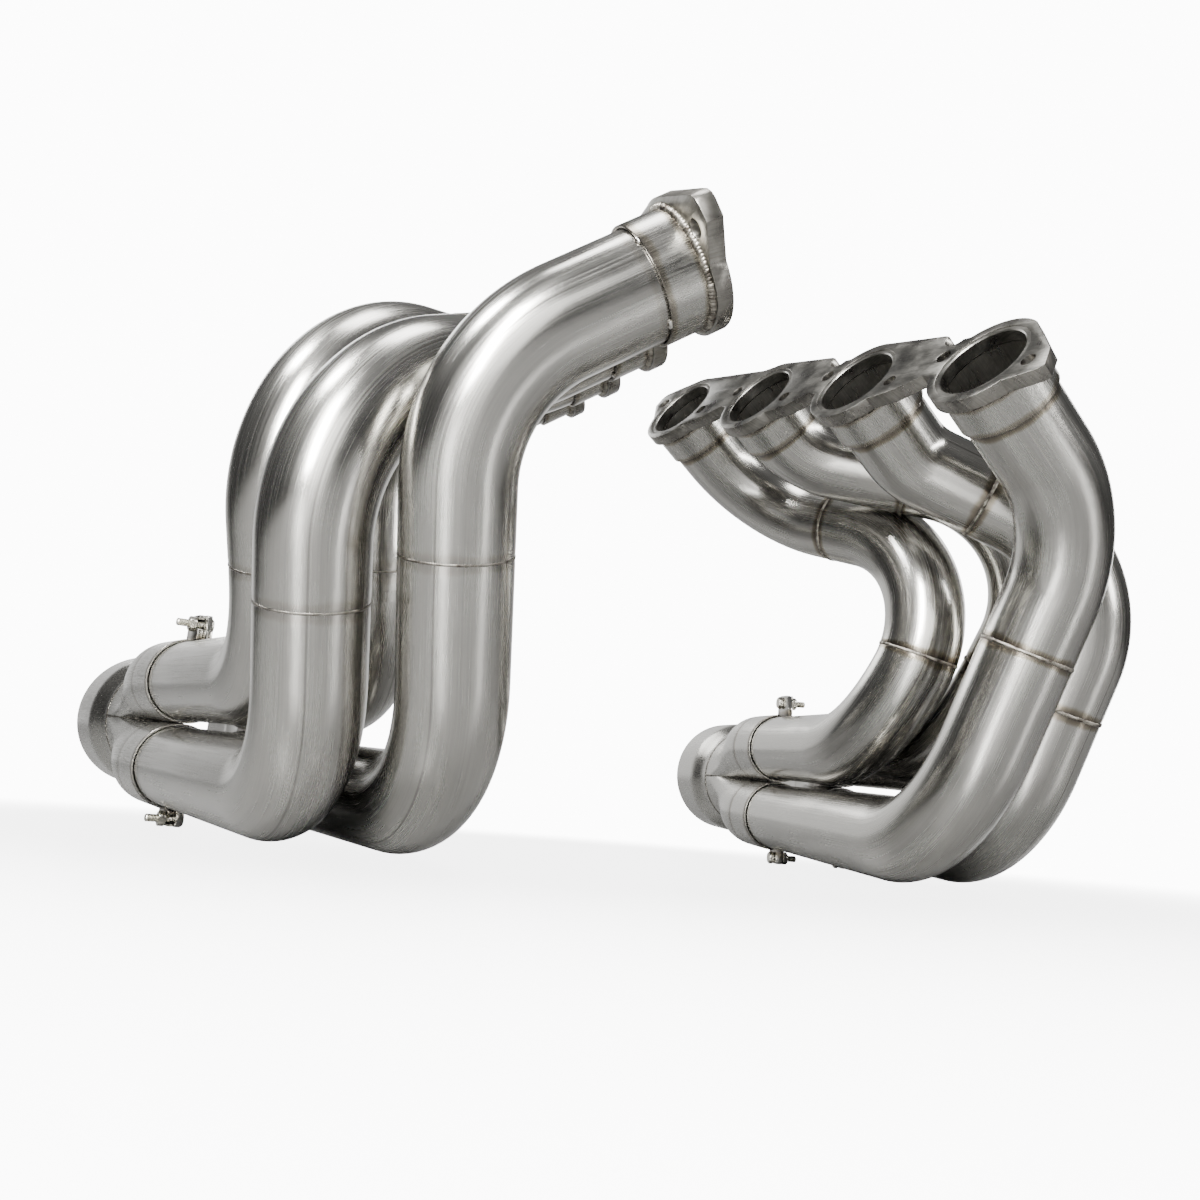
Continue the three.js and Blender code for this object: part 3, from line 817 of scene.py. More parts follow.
class Stamp:
    """A Geometry Nodes tree that stamps one small shape at every station of a host mesh."""

    def __init__(self) -> None:
        """Build the tree with its named inputs."""
        tree = bpy.data.node_groups.new("stamp_along_stations", "GeometryNodeTree")
        new = tree.interface.new_socket
        new("Geometry", in_out="INPUT", socket_type="NodeSocketGeometry")
        self.shape = new("Shape", in_out="INPUT", socket_type="NodeSocketObject").identifier
        self.size = new("Size", in_out="INPUT", socket_type="NodeSocketVector").identifier
        self.jitter = new("Jitter", in_out="INPUT", socket_type="NodeSocketFloat").identifier
        self.seed = new("Seed", in_out="INPUT", socket_type="NodeSocketInt").identifier
        self.finish = new("Finish", in_out="INPUT", socket_type="NodeSocketMaterial").identifier
        new("Geometry", in_out="OUTPUT", socket_type="NodeSocketGeometry")
        inputs = add_node(tree, "NodeGroupInput").outputs
        shape = add_node(tree, "GeometryNodeObjectInfo", Object=inputs["Shape"])
        turn = add_node(
            tree, "GeometryNodeInputNamedAttribute", {"data_type": "FLOAT_VECTOR"}, Name="station_turn"
        )
        low = add_node(tree, "ShaderNodeMath", {"operation": "SUBTRACT"}, i0=1.0, i1=inputs["Jitter"])
        high = add_node(tree, "ShaderNodeMath", {"operation": "ADD"}, i0=1.0, i1=inputs["Jitter"])
        random = tree.nodes.new("FunctionNodeRandomValue")
        random.data_type = "FLOAT"
        tree.links.new(low.outputs[0], random.inputs[2])
        tree.links.new(high.outputs[0], random.inputs[3])
        tree.links.new(inputs["Seed"], random.inputs["Seed"])
        size = add_node(
            tree, "ShaderNodeVectorMath", {"operation": "SCALE"}, i0=inputs["Size"], Scale=random.outputs[1]
        )
        stamped = add_node(
            tree,
            "GeometryNodeInstanceOnPoints",
            Points=inputs["Geometry"],
            Instance=shape.outputs["Geometry"],
            Rotation=turn.outputs["Attribute"],
            Scale=size.outputs[0],
        )
        real = add_node(tree, "GeometryNodeRealizeInstances", Geometry=stamped.outputs[0])
        dressed = add_node(
            tree, "GeometryNodeSetMaterial", Geometry=real.outputs[0], Material=inputs["Finish"]
        )
        add_node(tree, "NodeGroupOutput", None, i0=dressed.outputs[0])
        self.tree = tree

    def along(
        self,
        bank: Bank,
        name: str,
        stations: Stations,
        shape: Shell,
        size: tuple[float, float, float],
        jitter: float,
        finish: bpy.types.Material,
    ) -> bpy.types.Object:
        """Stamp a shape at every station and turn the result into a plain mesh.

        Args:
            bank: the header it is for.
            name: the piece's name after its side.
            stations: where the shape goes.
            shape: the shape itself, x along the path and z away from the metal, in mm.
            size: scale of the shape along its axes.
            jitter: how far each copy's size may stray, as a fraction.
            finish: its material.

        Returns:
            The finished piece.
        """
        places = bank.place(np.array(stations.points))
        feet = bank.place(np.zeros((1, 3)))
        turns = []
        for along, up in stations.axes:
            z = (bank.place(up[None]) - feet)[0]
            x = (bank.place(along[None]) - feet)[0]
            z = unit(z)
            x = unit(x - z * np.dot(x, z))
            basis = Matrix([x, np.cross(z, x), z]).transposed()
            turns.append(basis.to_euler()[:])
        host_mesh = bpy.data.meshes.new(name + "_stations")
        host_mesh.from_pydata(places.tolist(), [], [])
        host_mesh.attributes.new("station_turn", "FLOAT_VECTOR", "POINT").data.foreach_set(
            "vector", np.array(turns, np.float32).ravel()
        )
        host = bpy.data.objects.new(name + "_stations", host_mesh)
        bpy.context.scene.collection.objects.link(host)
        small = bpy.data.meshes.new(name + "_shape")
        small.from_pydata((shape.points * MM).tolist(), [], shape.faces)
        small.polygons.foreach_set("use_smooth", [True] * len(small.polygons))
        small.set_sharp_from_angle(angle=math.radians(38))
        proto = bpy.data.objects.new(name + "_shape", small)
        bpy.context.scene.collection.objects.link(proto)
        modifier = host.modifiers.new("stamp", "NODES")
        modifier.node_group = self.tree
        modifier[self.shape] = proto
        modifier[self.size] = size
        modifier[self.jitter] = jitter
        modifier[self.seed] = 7
        modifier[self.finish] = finish
        bpy.context.view_layer.update()
        result = bpy.data.meshes.new_from_object(host.evaluated_get(bpy.context.evaluated_depsgraph_get()))
        result.name = f"{bank.side}_{name}"
        host.modifiers.clear()
        for helper in (host, proto):
            bpy.data.objects.remove(helper)
        piece = bpy.data.objects.new(f"{bank.side}_{name}", result)
        bpy.context.scene.collection.objects.link(piece)
        return piece


def ripple() -> Shell:
    """One scallop of weld metal: a low dome, 1 mm in half size, closed underneath."""
    rings = [(1.0, -0.35), (0.96, 0.15), (0.78, 0.6), (0.42, 0.9)]
    sides = 8
    turns = [TAU * j / sides for j in range(sides)]
    points = [(r * math.cos(turn), r * math.sin(turn), h) for r, h in rings for turn in turns]
    points.append((0.0, 0.0, 1.0))
    top = len(points) - 1
    faces: list[tuple[int, ...]] = [tuple(range(sides - 1, -1, -1))]
    for i in range(len(rings) - 1):
        for j in range(sides):
            m = (j + 1) % sides
            faces.append((i * sides + j, i * sides + m, (i + 1) * sides + m, (i + 1) * sides + j))
    last = (len(rings) - 1) * sides
    faces += [(last + j, last + (j + 1) % sides, top) for j in range(sides)]
    return Shell(np.array(points), faces)


# ---- Sub-assemblies -----------------------------------------------------------------------------
@dataclass
class HeadFlange:
    """The thick scalloped plate that bolts to the cylinder head.

    Attributes:
        lobe: radius of the plate round each port.
        bolt: radius of the bolt holes.
        high: the upper bolt's place from its port's centre, along the row and up the plate.
        low: the lower bolt's place.
        lip: depth of the shallow step round each port.
        bevel: size of the plate's rounded edges.
        crisp: angle in degrees past which an edge is drawn crisp.
    """

    lobe: float = 36.5
    bolt: float = 5.0
    high: tuple[float, float] = (38.0, 10.5)
    low: tuple[float, float] = (-38.5, -6.5)
    lip: float = 0.6
    bevel: float = 0.45
    crisp: float = 30.0

    def outline(self) -> list[tuple[float, float]]:
        """Outline of the plate, port 4 at the origin and the row along x."""
        pitch = SIZES.port_pitch
        last = 3 * pitch
        points: list[tuple[float, float]] = [(-54, -13)]
        for i in range(4):
            centre = i * pitch
            points.append((centre - 50, -16.5))
            points += arc((centre, 0), self.lobe, 218, 346)
            if i < 3:
                points.append((centre + 44, -6.5))
        lug = ((52.5, 9), (52.5, 18), (51.4, 21.2), (48.5, 24), (43, 26))
        points += [(last + across, up) for across, up in lug]
        for port in (1, 2, 3, 4):
            centre = (4 - port) * pitch
            if port > 2:
                points += arc((centre + 40, 29.5), 8.5, 15, -155)
            points += arc((centre, 0), self.lobe + 1, 45 if port > 2 else 70, 100 if port < 4 else 125)
            if port < 4:
                points.append((centre - pitch + (52 if port > 1 else 24), 33))
        points.append((-48.5, 2))
        return points

    def build(self, bank: Bank, finishes: Finishes) -> bpy.types.Object:
        """Build the plate with its bolt holes and the stepped lip of each port.

        Args:
            bank: the header it is for.
            finishes: the materials.

        Returns:
            The piece.
        """
        pitch = SIZES.port_pitch
        seat = SIZES.tube + 0.6
        holes = []
        for i in range(4):
            holes.append(arc((i * pitch, 0), seat, 0, 356))
            for across, up in (self.high, self.low):
                holes.append(arc((i * pitch + across, up), self.bolt, 0, 345, 15))
        shell = flat_plate(self.outline(), holes, SIZES.plate, self.bevel)
        for i in range(4):
            ring = [
                (seat - 0.05, -SIZES.plate / 2 + 0.3),
                (seat - 0.05, SIZES.plate / 2 - self.lip),
                (SIZES.port_bore + 0.7, SIZES.plate / 2 - self.lip),
                (SIZES.port_bore, SIZES.plate / 2 - self.lip - 0.7),
                (SIZES.port_bore, -SIZES.plate / 2 + 0.3),
            ]
            step = turned(ring, 90)
            centre = np.eye(4)
            centre[0, 3] = i * pitch
            shell = shell.plus(step.moved(centre))
        middle = SIZES.plate / 2
        x = SIZES.row
        origin = SIZES.port(4) + SIZES.blow * middle
        z = np.cross(SIZES.row, SIZES.plate_up)
        if bank.plate_turned:
            # The step stays on the gasket side, so only the outline is turned.
            points = shell.points.copy()
            points[:, 0] = 3 * pitch - points[:, 0]
            shell = Shell(points, [tuple(reversed(f)) for f in shell.faces], slots=shell.slots)
        shell = shell.moved(axes_matrix(origin, x, SIZES.plate_up, z))
        shell.unrolled = shell.points * MM
        materials = [finishes[Finish.PLATE_FACE], finishes[Finish.PLATE_EDGE]]
        piece = bank.piece("flange_plate", shell, materials, self.crisp)
        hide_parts(f"{bank.side}_head_flange")
        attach(piece, f"{bank.side}_header")
        return piece


@dataclass
class Run:
    """The way one primary tube runs, from its port to its cup.

    Attributes:
        port: which port.
        lead: straight length out of the port, to the first corner.
        turn: how far rearward the tube meets its cup's axis.
        radii: bend radius of each corner.
        seams: distances of the butt welds along the tube.
        knee: the free corner, where there is one.
    """

    port: int
    lead: float
    turn: float
    radii: tuple[float, ...]
    seams: tuple[float, ...]
    knee: tuple[float, float, float] | None = None

    def corners(self) -> list[np.ndarray]:
        """Corner points of the centreline."""
        start, rim, axis = SIZES.port(self.port), SIZES.cup(self.port), SIZES.axis
        points = [start, start + SIZES.blow * self.lead]
        if self.knee:
            points.append(np.array(self.knee, float))
        points.append(rim + axis * (self.turn - rim[0]) / axis[0])
        points.append(rim + axis * SIZES.insertion)
        return points

    def centreline(self, step: float = 3.0) -> tuple[np.ndarray, np.ndarray, np.ndarray]:
        """Sample the rounded centreline.

        Args:
            step: longest distance between samples in a bend.

        Returns:
            Points, unit tangents and distances along the line.
        """
        corners = self.corners()
        points: list[np.ndarray] = [corners[0]]
        tangents: list[np.ndarray] = [unit(corners[1] - corners[0])]
        for i, radius in enumerate(self.radii, start=1):
            before, after = unit(corners[i] - corners[i - 1]), unit(corners[i + 1] - corners[i])
            angle = math.acos(float(np.clip(np.dot(before, after), -1, 1)))
            setback = radius * math.tan(angle / 2)
            start = corners[i] - before * setback
            inward = unit(after - before * np.dot(before, after))
            centre = start + inward * radius
            count = max(6, int(radius * angle / step))
            for k in range(count + 1):
                a = angle * k / count
                points.append(centre - inward * radius * math.cos(a) + before * radius * math.sin(a))
                tangents.append(before * math.cos(a) + inward * math.sin(a))
        points.append(corners[-1])
        tangents.append(unit(corners[-1] - corners[-2]))
        line = np.array(points)
        distance = np.concatenate([[0.0], np.cumsum(np.linalg.norm(np.diff(line, axis=0), axis=1))])
        return line, np.array(tangents), distance


@dataclass
class PrimaryTubes:
    """The four large mandrel-bent tubes, each butt-welded from two or three bends.

    Attributes:
        sides: points round a tube.
        bead_sides: points round the path of a weld.
        ripple: from one ripple of a weld to the next, in mm.
        seam_angle: where the mill seam runs, in degrees round the tube.
        runs: the way each tube goes.
        welds: places of the welds' ripples.
    """

    sides: int = 64
    bead_sides: int = 96
    ripple: float = 1.35
    seam_angle: float = 200.0
    runs: tuple[Run, ...] = (
        Run(1, 124, -110, (90, 85, 105), (192, 352), (-186, 152, 248)),
        Run(2, 63, -150, (66, 90, 95), (142, 348), (-243, 209, 281)),
        Run(3, 77, -204, (46, 90, 90), (131, 312), (-290, 180, 230)),
        Run(4, 135, -222, (93, 100), (216,)),
    )
    welds: Stations = field(default_factory=Stations)

    def carried_normals(self, tangents: np.ndarray) -> np.ndarray:
        """Sideways directions carried along the tube without twist.

        Args:
            tangents: unit tangents of the centreline.

        Returns:
            One unit normal for each.
        """
        normal = unit(SIZES.row - tangents[0] * np.dot(SIZES.row, tangents[0]))
        normals = [normal]
        for tangent in tangents[1:]:
            normal = unit(normal - tangent * np.dot(normal, tangent))
            normals.append(normal)
        return np.array(normals)

    def section(self, run: Run, start: float, end: float, welds: Sequence[float]) -> Shell:
        """Sweep the tube's wall along one stretch of its run.

        Args:
            run: the tube's run.
            start: distance where the section begins.
            end: distance where it ends.
            welds: distances of every weld on the tube, and of its collar's rim, whose dark band is partly
                painted shade.

        Returns:
            The section as a closed shell.
        """
        line, tangents, distance = run.centreline()
        normals = self.carried_normals(tangents)
        inside = distance[(distance > start + 1) & (distance < end - 1)]
        stops = [start, *inside, end]
        # Long straights get stations too, so that the heat colours fade evenly.
        fine = [start]
        for stop in stops[1:]:
            gaps = max(1, int((stop - fine[-1]) / 4.0))
            fine += list(np.linspace(fine[-1], stop, gaps + 1)[1:])
        at = np.array(fine)
        centres, along, side = (sample(at, distance, values) for values in (line, tangents, normals))
        along /= np.linalg.norm(along, axis=1)[:, None]
        side -= along * np.sum(side * along, axis=1)[:, None]
        side /= np.linalg.norm(side, axis=1)[:, None]
        third = np.cross(along, side)
        angle = np.arange(self.sides) * TAU / self.sides
        rings, skins = [], []
        lip = 0.25
        for radius, order in ((SIZES.tube, 1), (SIZES.tube - SIZES.tube_wall, -1)):
            across, up = np.cos(angle)[None, :, None], np.sin(angle)[None, :, None]
            spoke = side[:, None] * across + third[:, None] * up
            size = np.full(len(at), radius)
            size[0] -= lip * order
            size[-1] -= lip * order
            ring = centres[:, None] + spoke * size[:, None, None]
            turn = angle - math.radians(self.seam_angle)
            skin = np.empty_like(ring)
            skin[..., 0] = radius * np.cos(turn)
            skin[..., 1] = radius * np.sin(turn)
            skin[..., 2] = at[:, None]
            rings.append(ring[::order])
            skins.append(skin[::order])
        gaps = np.min([np.abs(at - weld) for weld in welds], axis=0)
        nearest = np.repeat(np.concatenate([gaps, gaps[::-1]])[:, None], self.sides, 1)
        return grid_shell(np.vstack(rings), np.vstack(skins) * MM, nearest * MM, lined=True)

    def bead(self, run: Run, at: float) -> None:
        """Mark out the ripples of one butt weld.

        Args:
            run: the tube's run.
            at: distance of the weld along it.
        """
        line, tangents, distance = run.centreline()
        normals = self.carried_normals(tangents)
        centre, along, side = (sample(at, distance, values) for values in (line, tangents, normals))
        along = unit(along)
        side = unit(side - along * np.dot(side, along))
        third = np.cross(along, side)
        angle = np.arange(self.bead_sides) * TAU / self.bead_sides
        spokes = side * np.cos(angle)[:, None] + third * np.sin(angle)[:, None]
        self.welds.ring(centre + spokes * (SIZES.tube - 0.1), spokes, self.ripple)

    def build(self, bank: Bank, finishes: Finishes, clamps: "Clamps") -> None:
        """Build every section and mark out the butt welds.

        Args:
            bank: the header they are for.
            finishes: the materials.
            clamps: makes the tab at each tube's end.
        """
        names = {1: ("inlet_bend", "outlet_bend"), 2: ("inlet_bend", "middle_bend", "outlet_bend")}
        inside = finishes[Finish.INSIDE]
        for run in self.runs:
            total = run.centreline()[2][-1]
            breaks = [SIZES.plate + 0.6, *run.seams, total]
            # The band at the collar's rim, collar_end + 1, is partly the tacks' heat tint and partly painted
            # shade of the step from collar to tube.
            tint_and_rim_shade_at = [SIZES.plate + 2.0, SIZES.collar_end + 1.0, *run.seams]
            for i, name in enumerate(names[len(run.seams)]):
                section = self.section(run, breaks[i] + 0.05, breaks[i + 1] - 0.05, tint_and_rim_shade_at)
                if i == len(run.seams):
                    section = section.plus(clamps.tube_tab(bank, run.port))
                piece = bank.piece(f"tube_{run.port}_{name}", section, [finishes[bank.tube], inside])
                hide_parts(f"{bank.side}_primary_{run.port}_{name}")
                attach(piece, f"{bank.side}_header")
                LOG.info("%s: %d faces", piece.name, len(piece.data.polygons))
            for seam in run.seams:
                self.bead(run, seam)


@dataclass
class Collars:
    """The four short sleeves welded to the back of the head flange."""

    sides: int = 96
    ripple: float = 1.9
    welds: Stations = field(default_factory=Stations)
    tacks: Stations = field(default_factory=Stations)

    def build(self, bank: Bank, finishes: Finishes) -> None:
        """Build the collars and mark out their welds.

        Args:
            bank: the header they are for.
            finishes: the materials.
        """
        length = SIZES.collar_end - SIZES.plate - 0.1
        profile = wall(straight(SIZES.sleeve, length), SIZES.sleeve_wall)
        # The band at the rim, length + 1.5, is partly heat tint and partly painted shade of the step down to
        # the tube; the band at 0 is the flange weld's heat tint.
        shell = turned(profile, self.sides, [0.0, length + 1.5], lined=True)
        materials = [finishes[Finish.SLEEVE], finishes[Finish.INSIDE]]
        angle = np.arange(self.sides) * TAU / self.sides
        for port in (1, 2, 3, 4):
            foot = SIZES.port(port) + SIZES.blow * (SIZES.plate + 0.1)
            frame = frame_along(foot, SIZES.blow, SIZES.row)
            piece = bank.piece(f"port_collar_{port}", shell.moved(frame), materials)
            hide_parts(f"{bank.side}_collar_{port}")
            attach(piece, f"{bank.side}_header")
            spokes = np.cos(angle)[:, None] * frame[:3, 0] + np.sin(angle)[:, None] * frame[:3, 1]
            lean = (spokes + 0.9 * SIZES.blow) / math.hypot(1, 0.9)
            self.welds.ring(foot + spokes * (SIZES.sleeve + 0.4) + SIZES.blow * 0.6, lean, self.ripple)
            # A few tacks hold the tube in the collar, at places that differ from port to port.
            rim = foot + SIZES.blow * (length + 0.2)
            for k in range(4):
                turn = math.radians(35 + 90 * k + 23 * port)
                spoke = math.cos(turn) * frame[:3, 0] + math.sin(turn) * frame[:3, 1]
                along = -math.sin(turn) * frame[:3, 0] + math.cos(turn) * frame[:3, 1]
                self.tacks.one(rim + spoke * (SIZES.tube + 0.6), along, unit(spoke + SIZES.blow))


@dataclass
class Clamps:
    """Tabs, bolts and nuts that hold the collector's cups on the tubes.

    Attributes:
        upper: bolt height and tab top of the upper clamps, from the middle of the cup.
        lower: the same of the lower clamps, which have the floor just under them.
        before_rim: how far in front of the cup's rim the bolt is.
        tab: thickness of a tab.
        hex_radius: corner radius of the hexagons.
        head: height of the bolt's head.
        nut: height of the nut.
        shank: radius of the bolt.
        thread: bare thread beyond the nut.
        gap: left between the two tabs.
        slot: half width of the cup tab's fork.
        hole: radius of the tube tab's hole.
        bevel: size of the tabs' rounded edges.
    """

    upper: tuple[float, float] = (43.0, 50.0)
    lower: tuple[float, float] = (38.2, 43.2)
    before_rim: float = 8.0
    tab: float = 4.0
    hex_radius: float = 5.8
    head: float = 4.0
    nut: float = 5.0
    shank: float = 2.95
    thread: float = 9.0
    gap: float = 0.3
    slot: float = 3.4
    hole: float = 3.3
    bevel: float = 0.35

    def heights(self, port: int) -> tuple[float, float]:
        """Bolt height and tab top of one clamp, from the middle of its cup."""
        return self.upper if CUP_PLACE[port][1] > 0 else self.lower

    def frame(self, bank: Bank, port: int) -> tuple[np.ndarray, float]:
        """Frame of a clamp: x along the collector, y away from the cup, z along the thread.

        Args:
            bank: the header it is for.
            port: which tube.

        Returns:
            The frame's matrix, and 1 where its x points rearward or -1.
        """
        above = SIZES.above * CUP_PLACE[port][1]
        thread = SIZES.aside * (-bank.thread if bank.mirrored else bank.thread)
        along = np.cross(above, thread)
        return axes_matrix(SIZES.cup(port), along, above, thread), math.copysign(1, np.dot(along, SIZES.axis))

    def tab_shell(
        self,
        bank: Bank,
        port: int,
        corners: Sequence[tuple[float, float]],
        holes: Sequence[Sequence[tuple[float, float]]],
        middle: float,
    ) -> Shell:
        """Cut one tab and set it on its cup or tube.

        Args:
            bank: the header it is for.
            port: which tube.
            corners: outline, x along the collector from the cup's rim, y from its middle.
            holes: holes in the same frame.
            middle: where its mid-plane is along the bolt.

        Returns:
            The tab.
        """
        matrix, rearward = self.frame(bank, port)
        rings = [[(x * rearward, y) for x, y in ring] for ring in (corners, *holes)]
        shell = flat_plate(rings[0], rings[1:], self.tab, self.bevel)
        lift = np.eye(4)
        lift[2, 3] = middle
        shell = shell.moved(lift)
        shell.from_weld = np.clip(shell.points[:, 1] - SIZES.tube, 0, 50) * MM
        shell.slots = [0] * len(shell.faces)
        return shell.moved(matrix)

    def cup_tab(self, bank: Bank, port: int) -> Shell:
        """The cup's forked tab, open to the front so that it slips off the loosened bolt."""
        bolt, top = self.heights(port)
        x, half = -self.before_rim, self.slot
        fork = arc((x, bolt), half, 90, -90, 15)
        foot = SIZES.sleeve - 1.1
        upper = [(-16, foot), (15, foot), (15, 39), (9, top), (-16, top), (-16, bolt + half)]
        outline = rounded([*upper, *fork, (-16, bolt - half)], 2.0)
        return self.tab_shell(bank, port, outline, [], self.gap / 2 + self.tab / 2)

    def tube_tab(self, bank: Bank, port: int) -> Shell:
        """The tab welded on the tube just in front of the cup, with a round hole."""
        bolt, top = self.heights(port)
        corners = [(-28, 29.0), (-3, 29.0), (-1, 35), (1, top - 3), (-2, top), (-21, top), (-28, 37)]
        hole = arc((-self.before_rim, bolt), self.hole, 0, 345, 15)
        return self.tab_shell(bank, port, rounded(corners, 2.0), [hole], -self.gap / 2 - self.tab / 2)

    def hexagon(self, levels: Sequence[tuple[float, float]], bore: float = 0.0, sides: int = 48) -> Shell:
        """A hexagonal solid with its corners chamfered, turned so that a flat faces y.

        Args:
            levels: (height, largest radius) from the bottom up.
            bore: radius of the hole, or 0 for a solid without one.
            sides: points round.

        Returns:
            The solid.
        """
        apothem = self.hex_radius * math.cos(math.pi / 6)
        angle = np.arange(sides) * TAU / sides
        reach = apothem / np.cos((angle + math.pi / 3) % (math.pi / 3) - math.pi / 6)
        rings = [(height, np.minimum(reach, limit)) for height, limit in levels]
        if bore:
            rings += [(levels[i][0], np.full(sides, bore)) for i in (-1, 0)]
        rows = [np.stack([r * np.cos(angle), r * np.sin(angle), np.full(sides, h)], axis=1) for h, r in rings]
        grid = np.array(rows)
        return grid_shell(grid, grid * MM, np.full(grid.shape[:2], 0.05), capped=not bore)

    def bolt_shell(self) -> Shell:
        """The bolt, its thread along z, with a chamfered head and a rolled thread."""
        big, small = self.hex_radius + 1, self.hex_radius * 0.9
        base = self.gap * 1.5 + self.tab
        bottom = -base - self.head
        head = self.hexagon([(bottom, small - 0.4), (bottom + 0.8, big), (-base - 0.3, big), (-base, small)])
        tip = base + self.nut + self.thread
        height = base + self.nut - 1
        levels = [(self.shank, -base - 0.5), (self.shank, height)]
        while height < tip - 1.4:
            root = self.shank - 0.42
            levels += [(self.shank, height + 0.15), (root, height + 0.5), (self.shank, height + 0.85)]
            height += 1.0
        levels += [(self.shank - 0.1, tip - 0.7), (self.shank - 0.8, tip)]
        return head.plus(turned(levels, 24, capped=True))

    def nut_shell(self) -> Shell:
        """The nut, in the same frame as the bolt."""
        big, small = self.hex_radius + 1, self.hex_radius * 0.9
        low = self.gap * 1.5 + self.tab
        high = low + self.nut
        levels = [(low, small), (low + 0.5, big), (high - 0.6, big), (high, small)]
        return self.hexagon(levels, self.shank + 0.08)

    def build(self, bank: Bank, finishes: Finishes, stamp: Stamp) -> None:
        """Stamp the bolts and the nuts.

        Args:
            bank: the header they are for.
            finishes: the materials.
            stamp: the tree that does it.
        """
        places = Stations()
        for port in (1, 2, 3, 4):
            matrix, _ = self.frame(bank, port)
            bolt, _ = self.heights(port)
            at = matrix[:3, 3] - SIZES.axis * self.before_rim + matrix[:3, 1] * bolt
            places.one(at, matrix[:3, 1], matrix[:3, 2])
        for name, shell in (("clamp_bolt", self.bolt_shell()), ("clamp_nut", self.nut_shell())):
            piece = stamp.along(bank, f"{name}s", places, shell, (1, 1, 1), 0.0, finishes[Finish.ZINC])
            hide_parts(*[f"{bank.side}_{name}_{port}" for port in (1, 2, 3, 4)])
            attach(piece, f"{bank.side}_header")


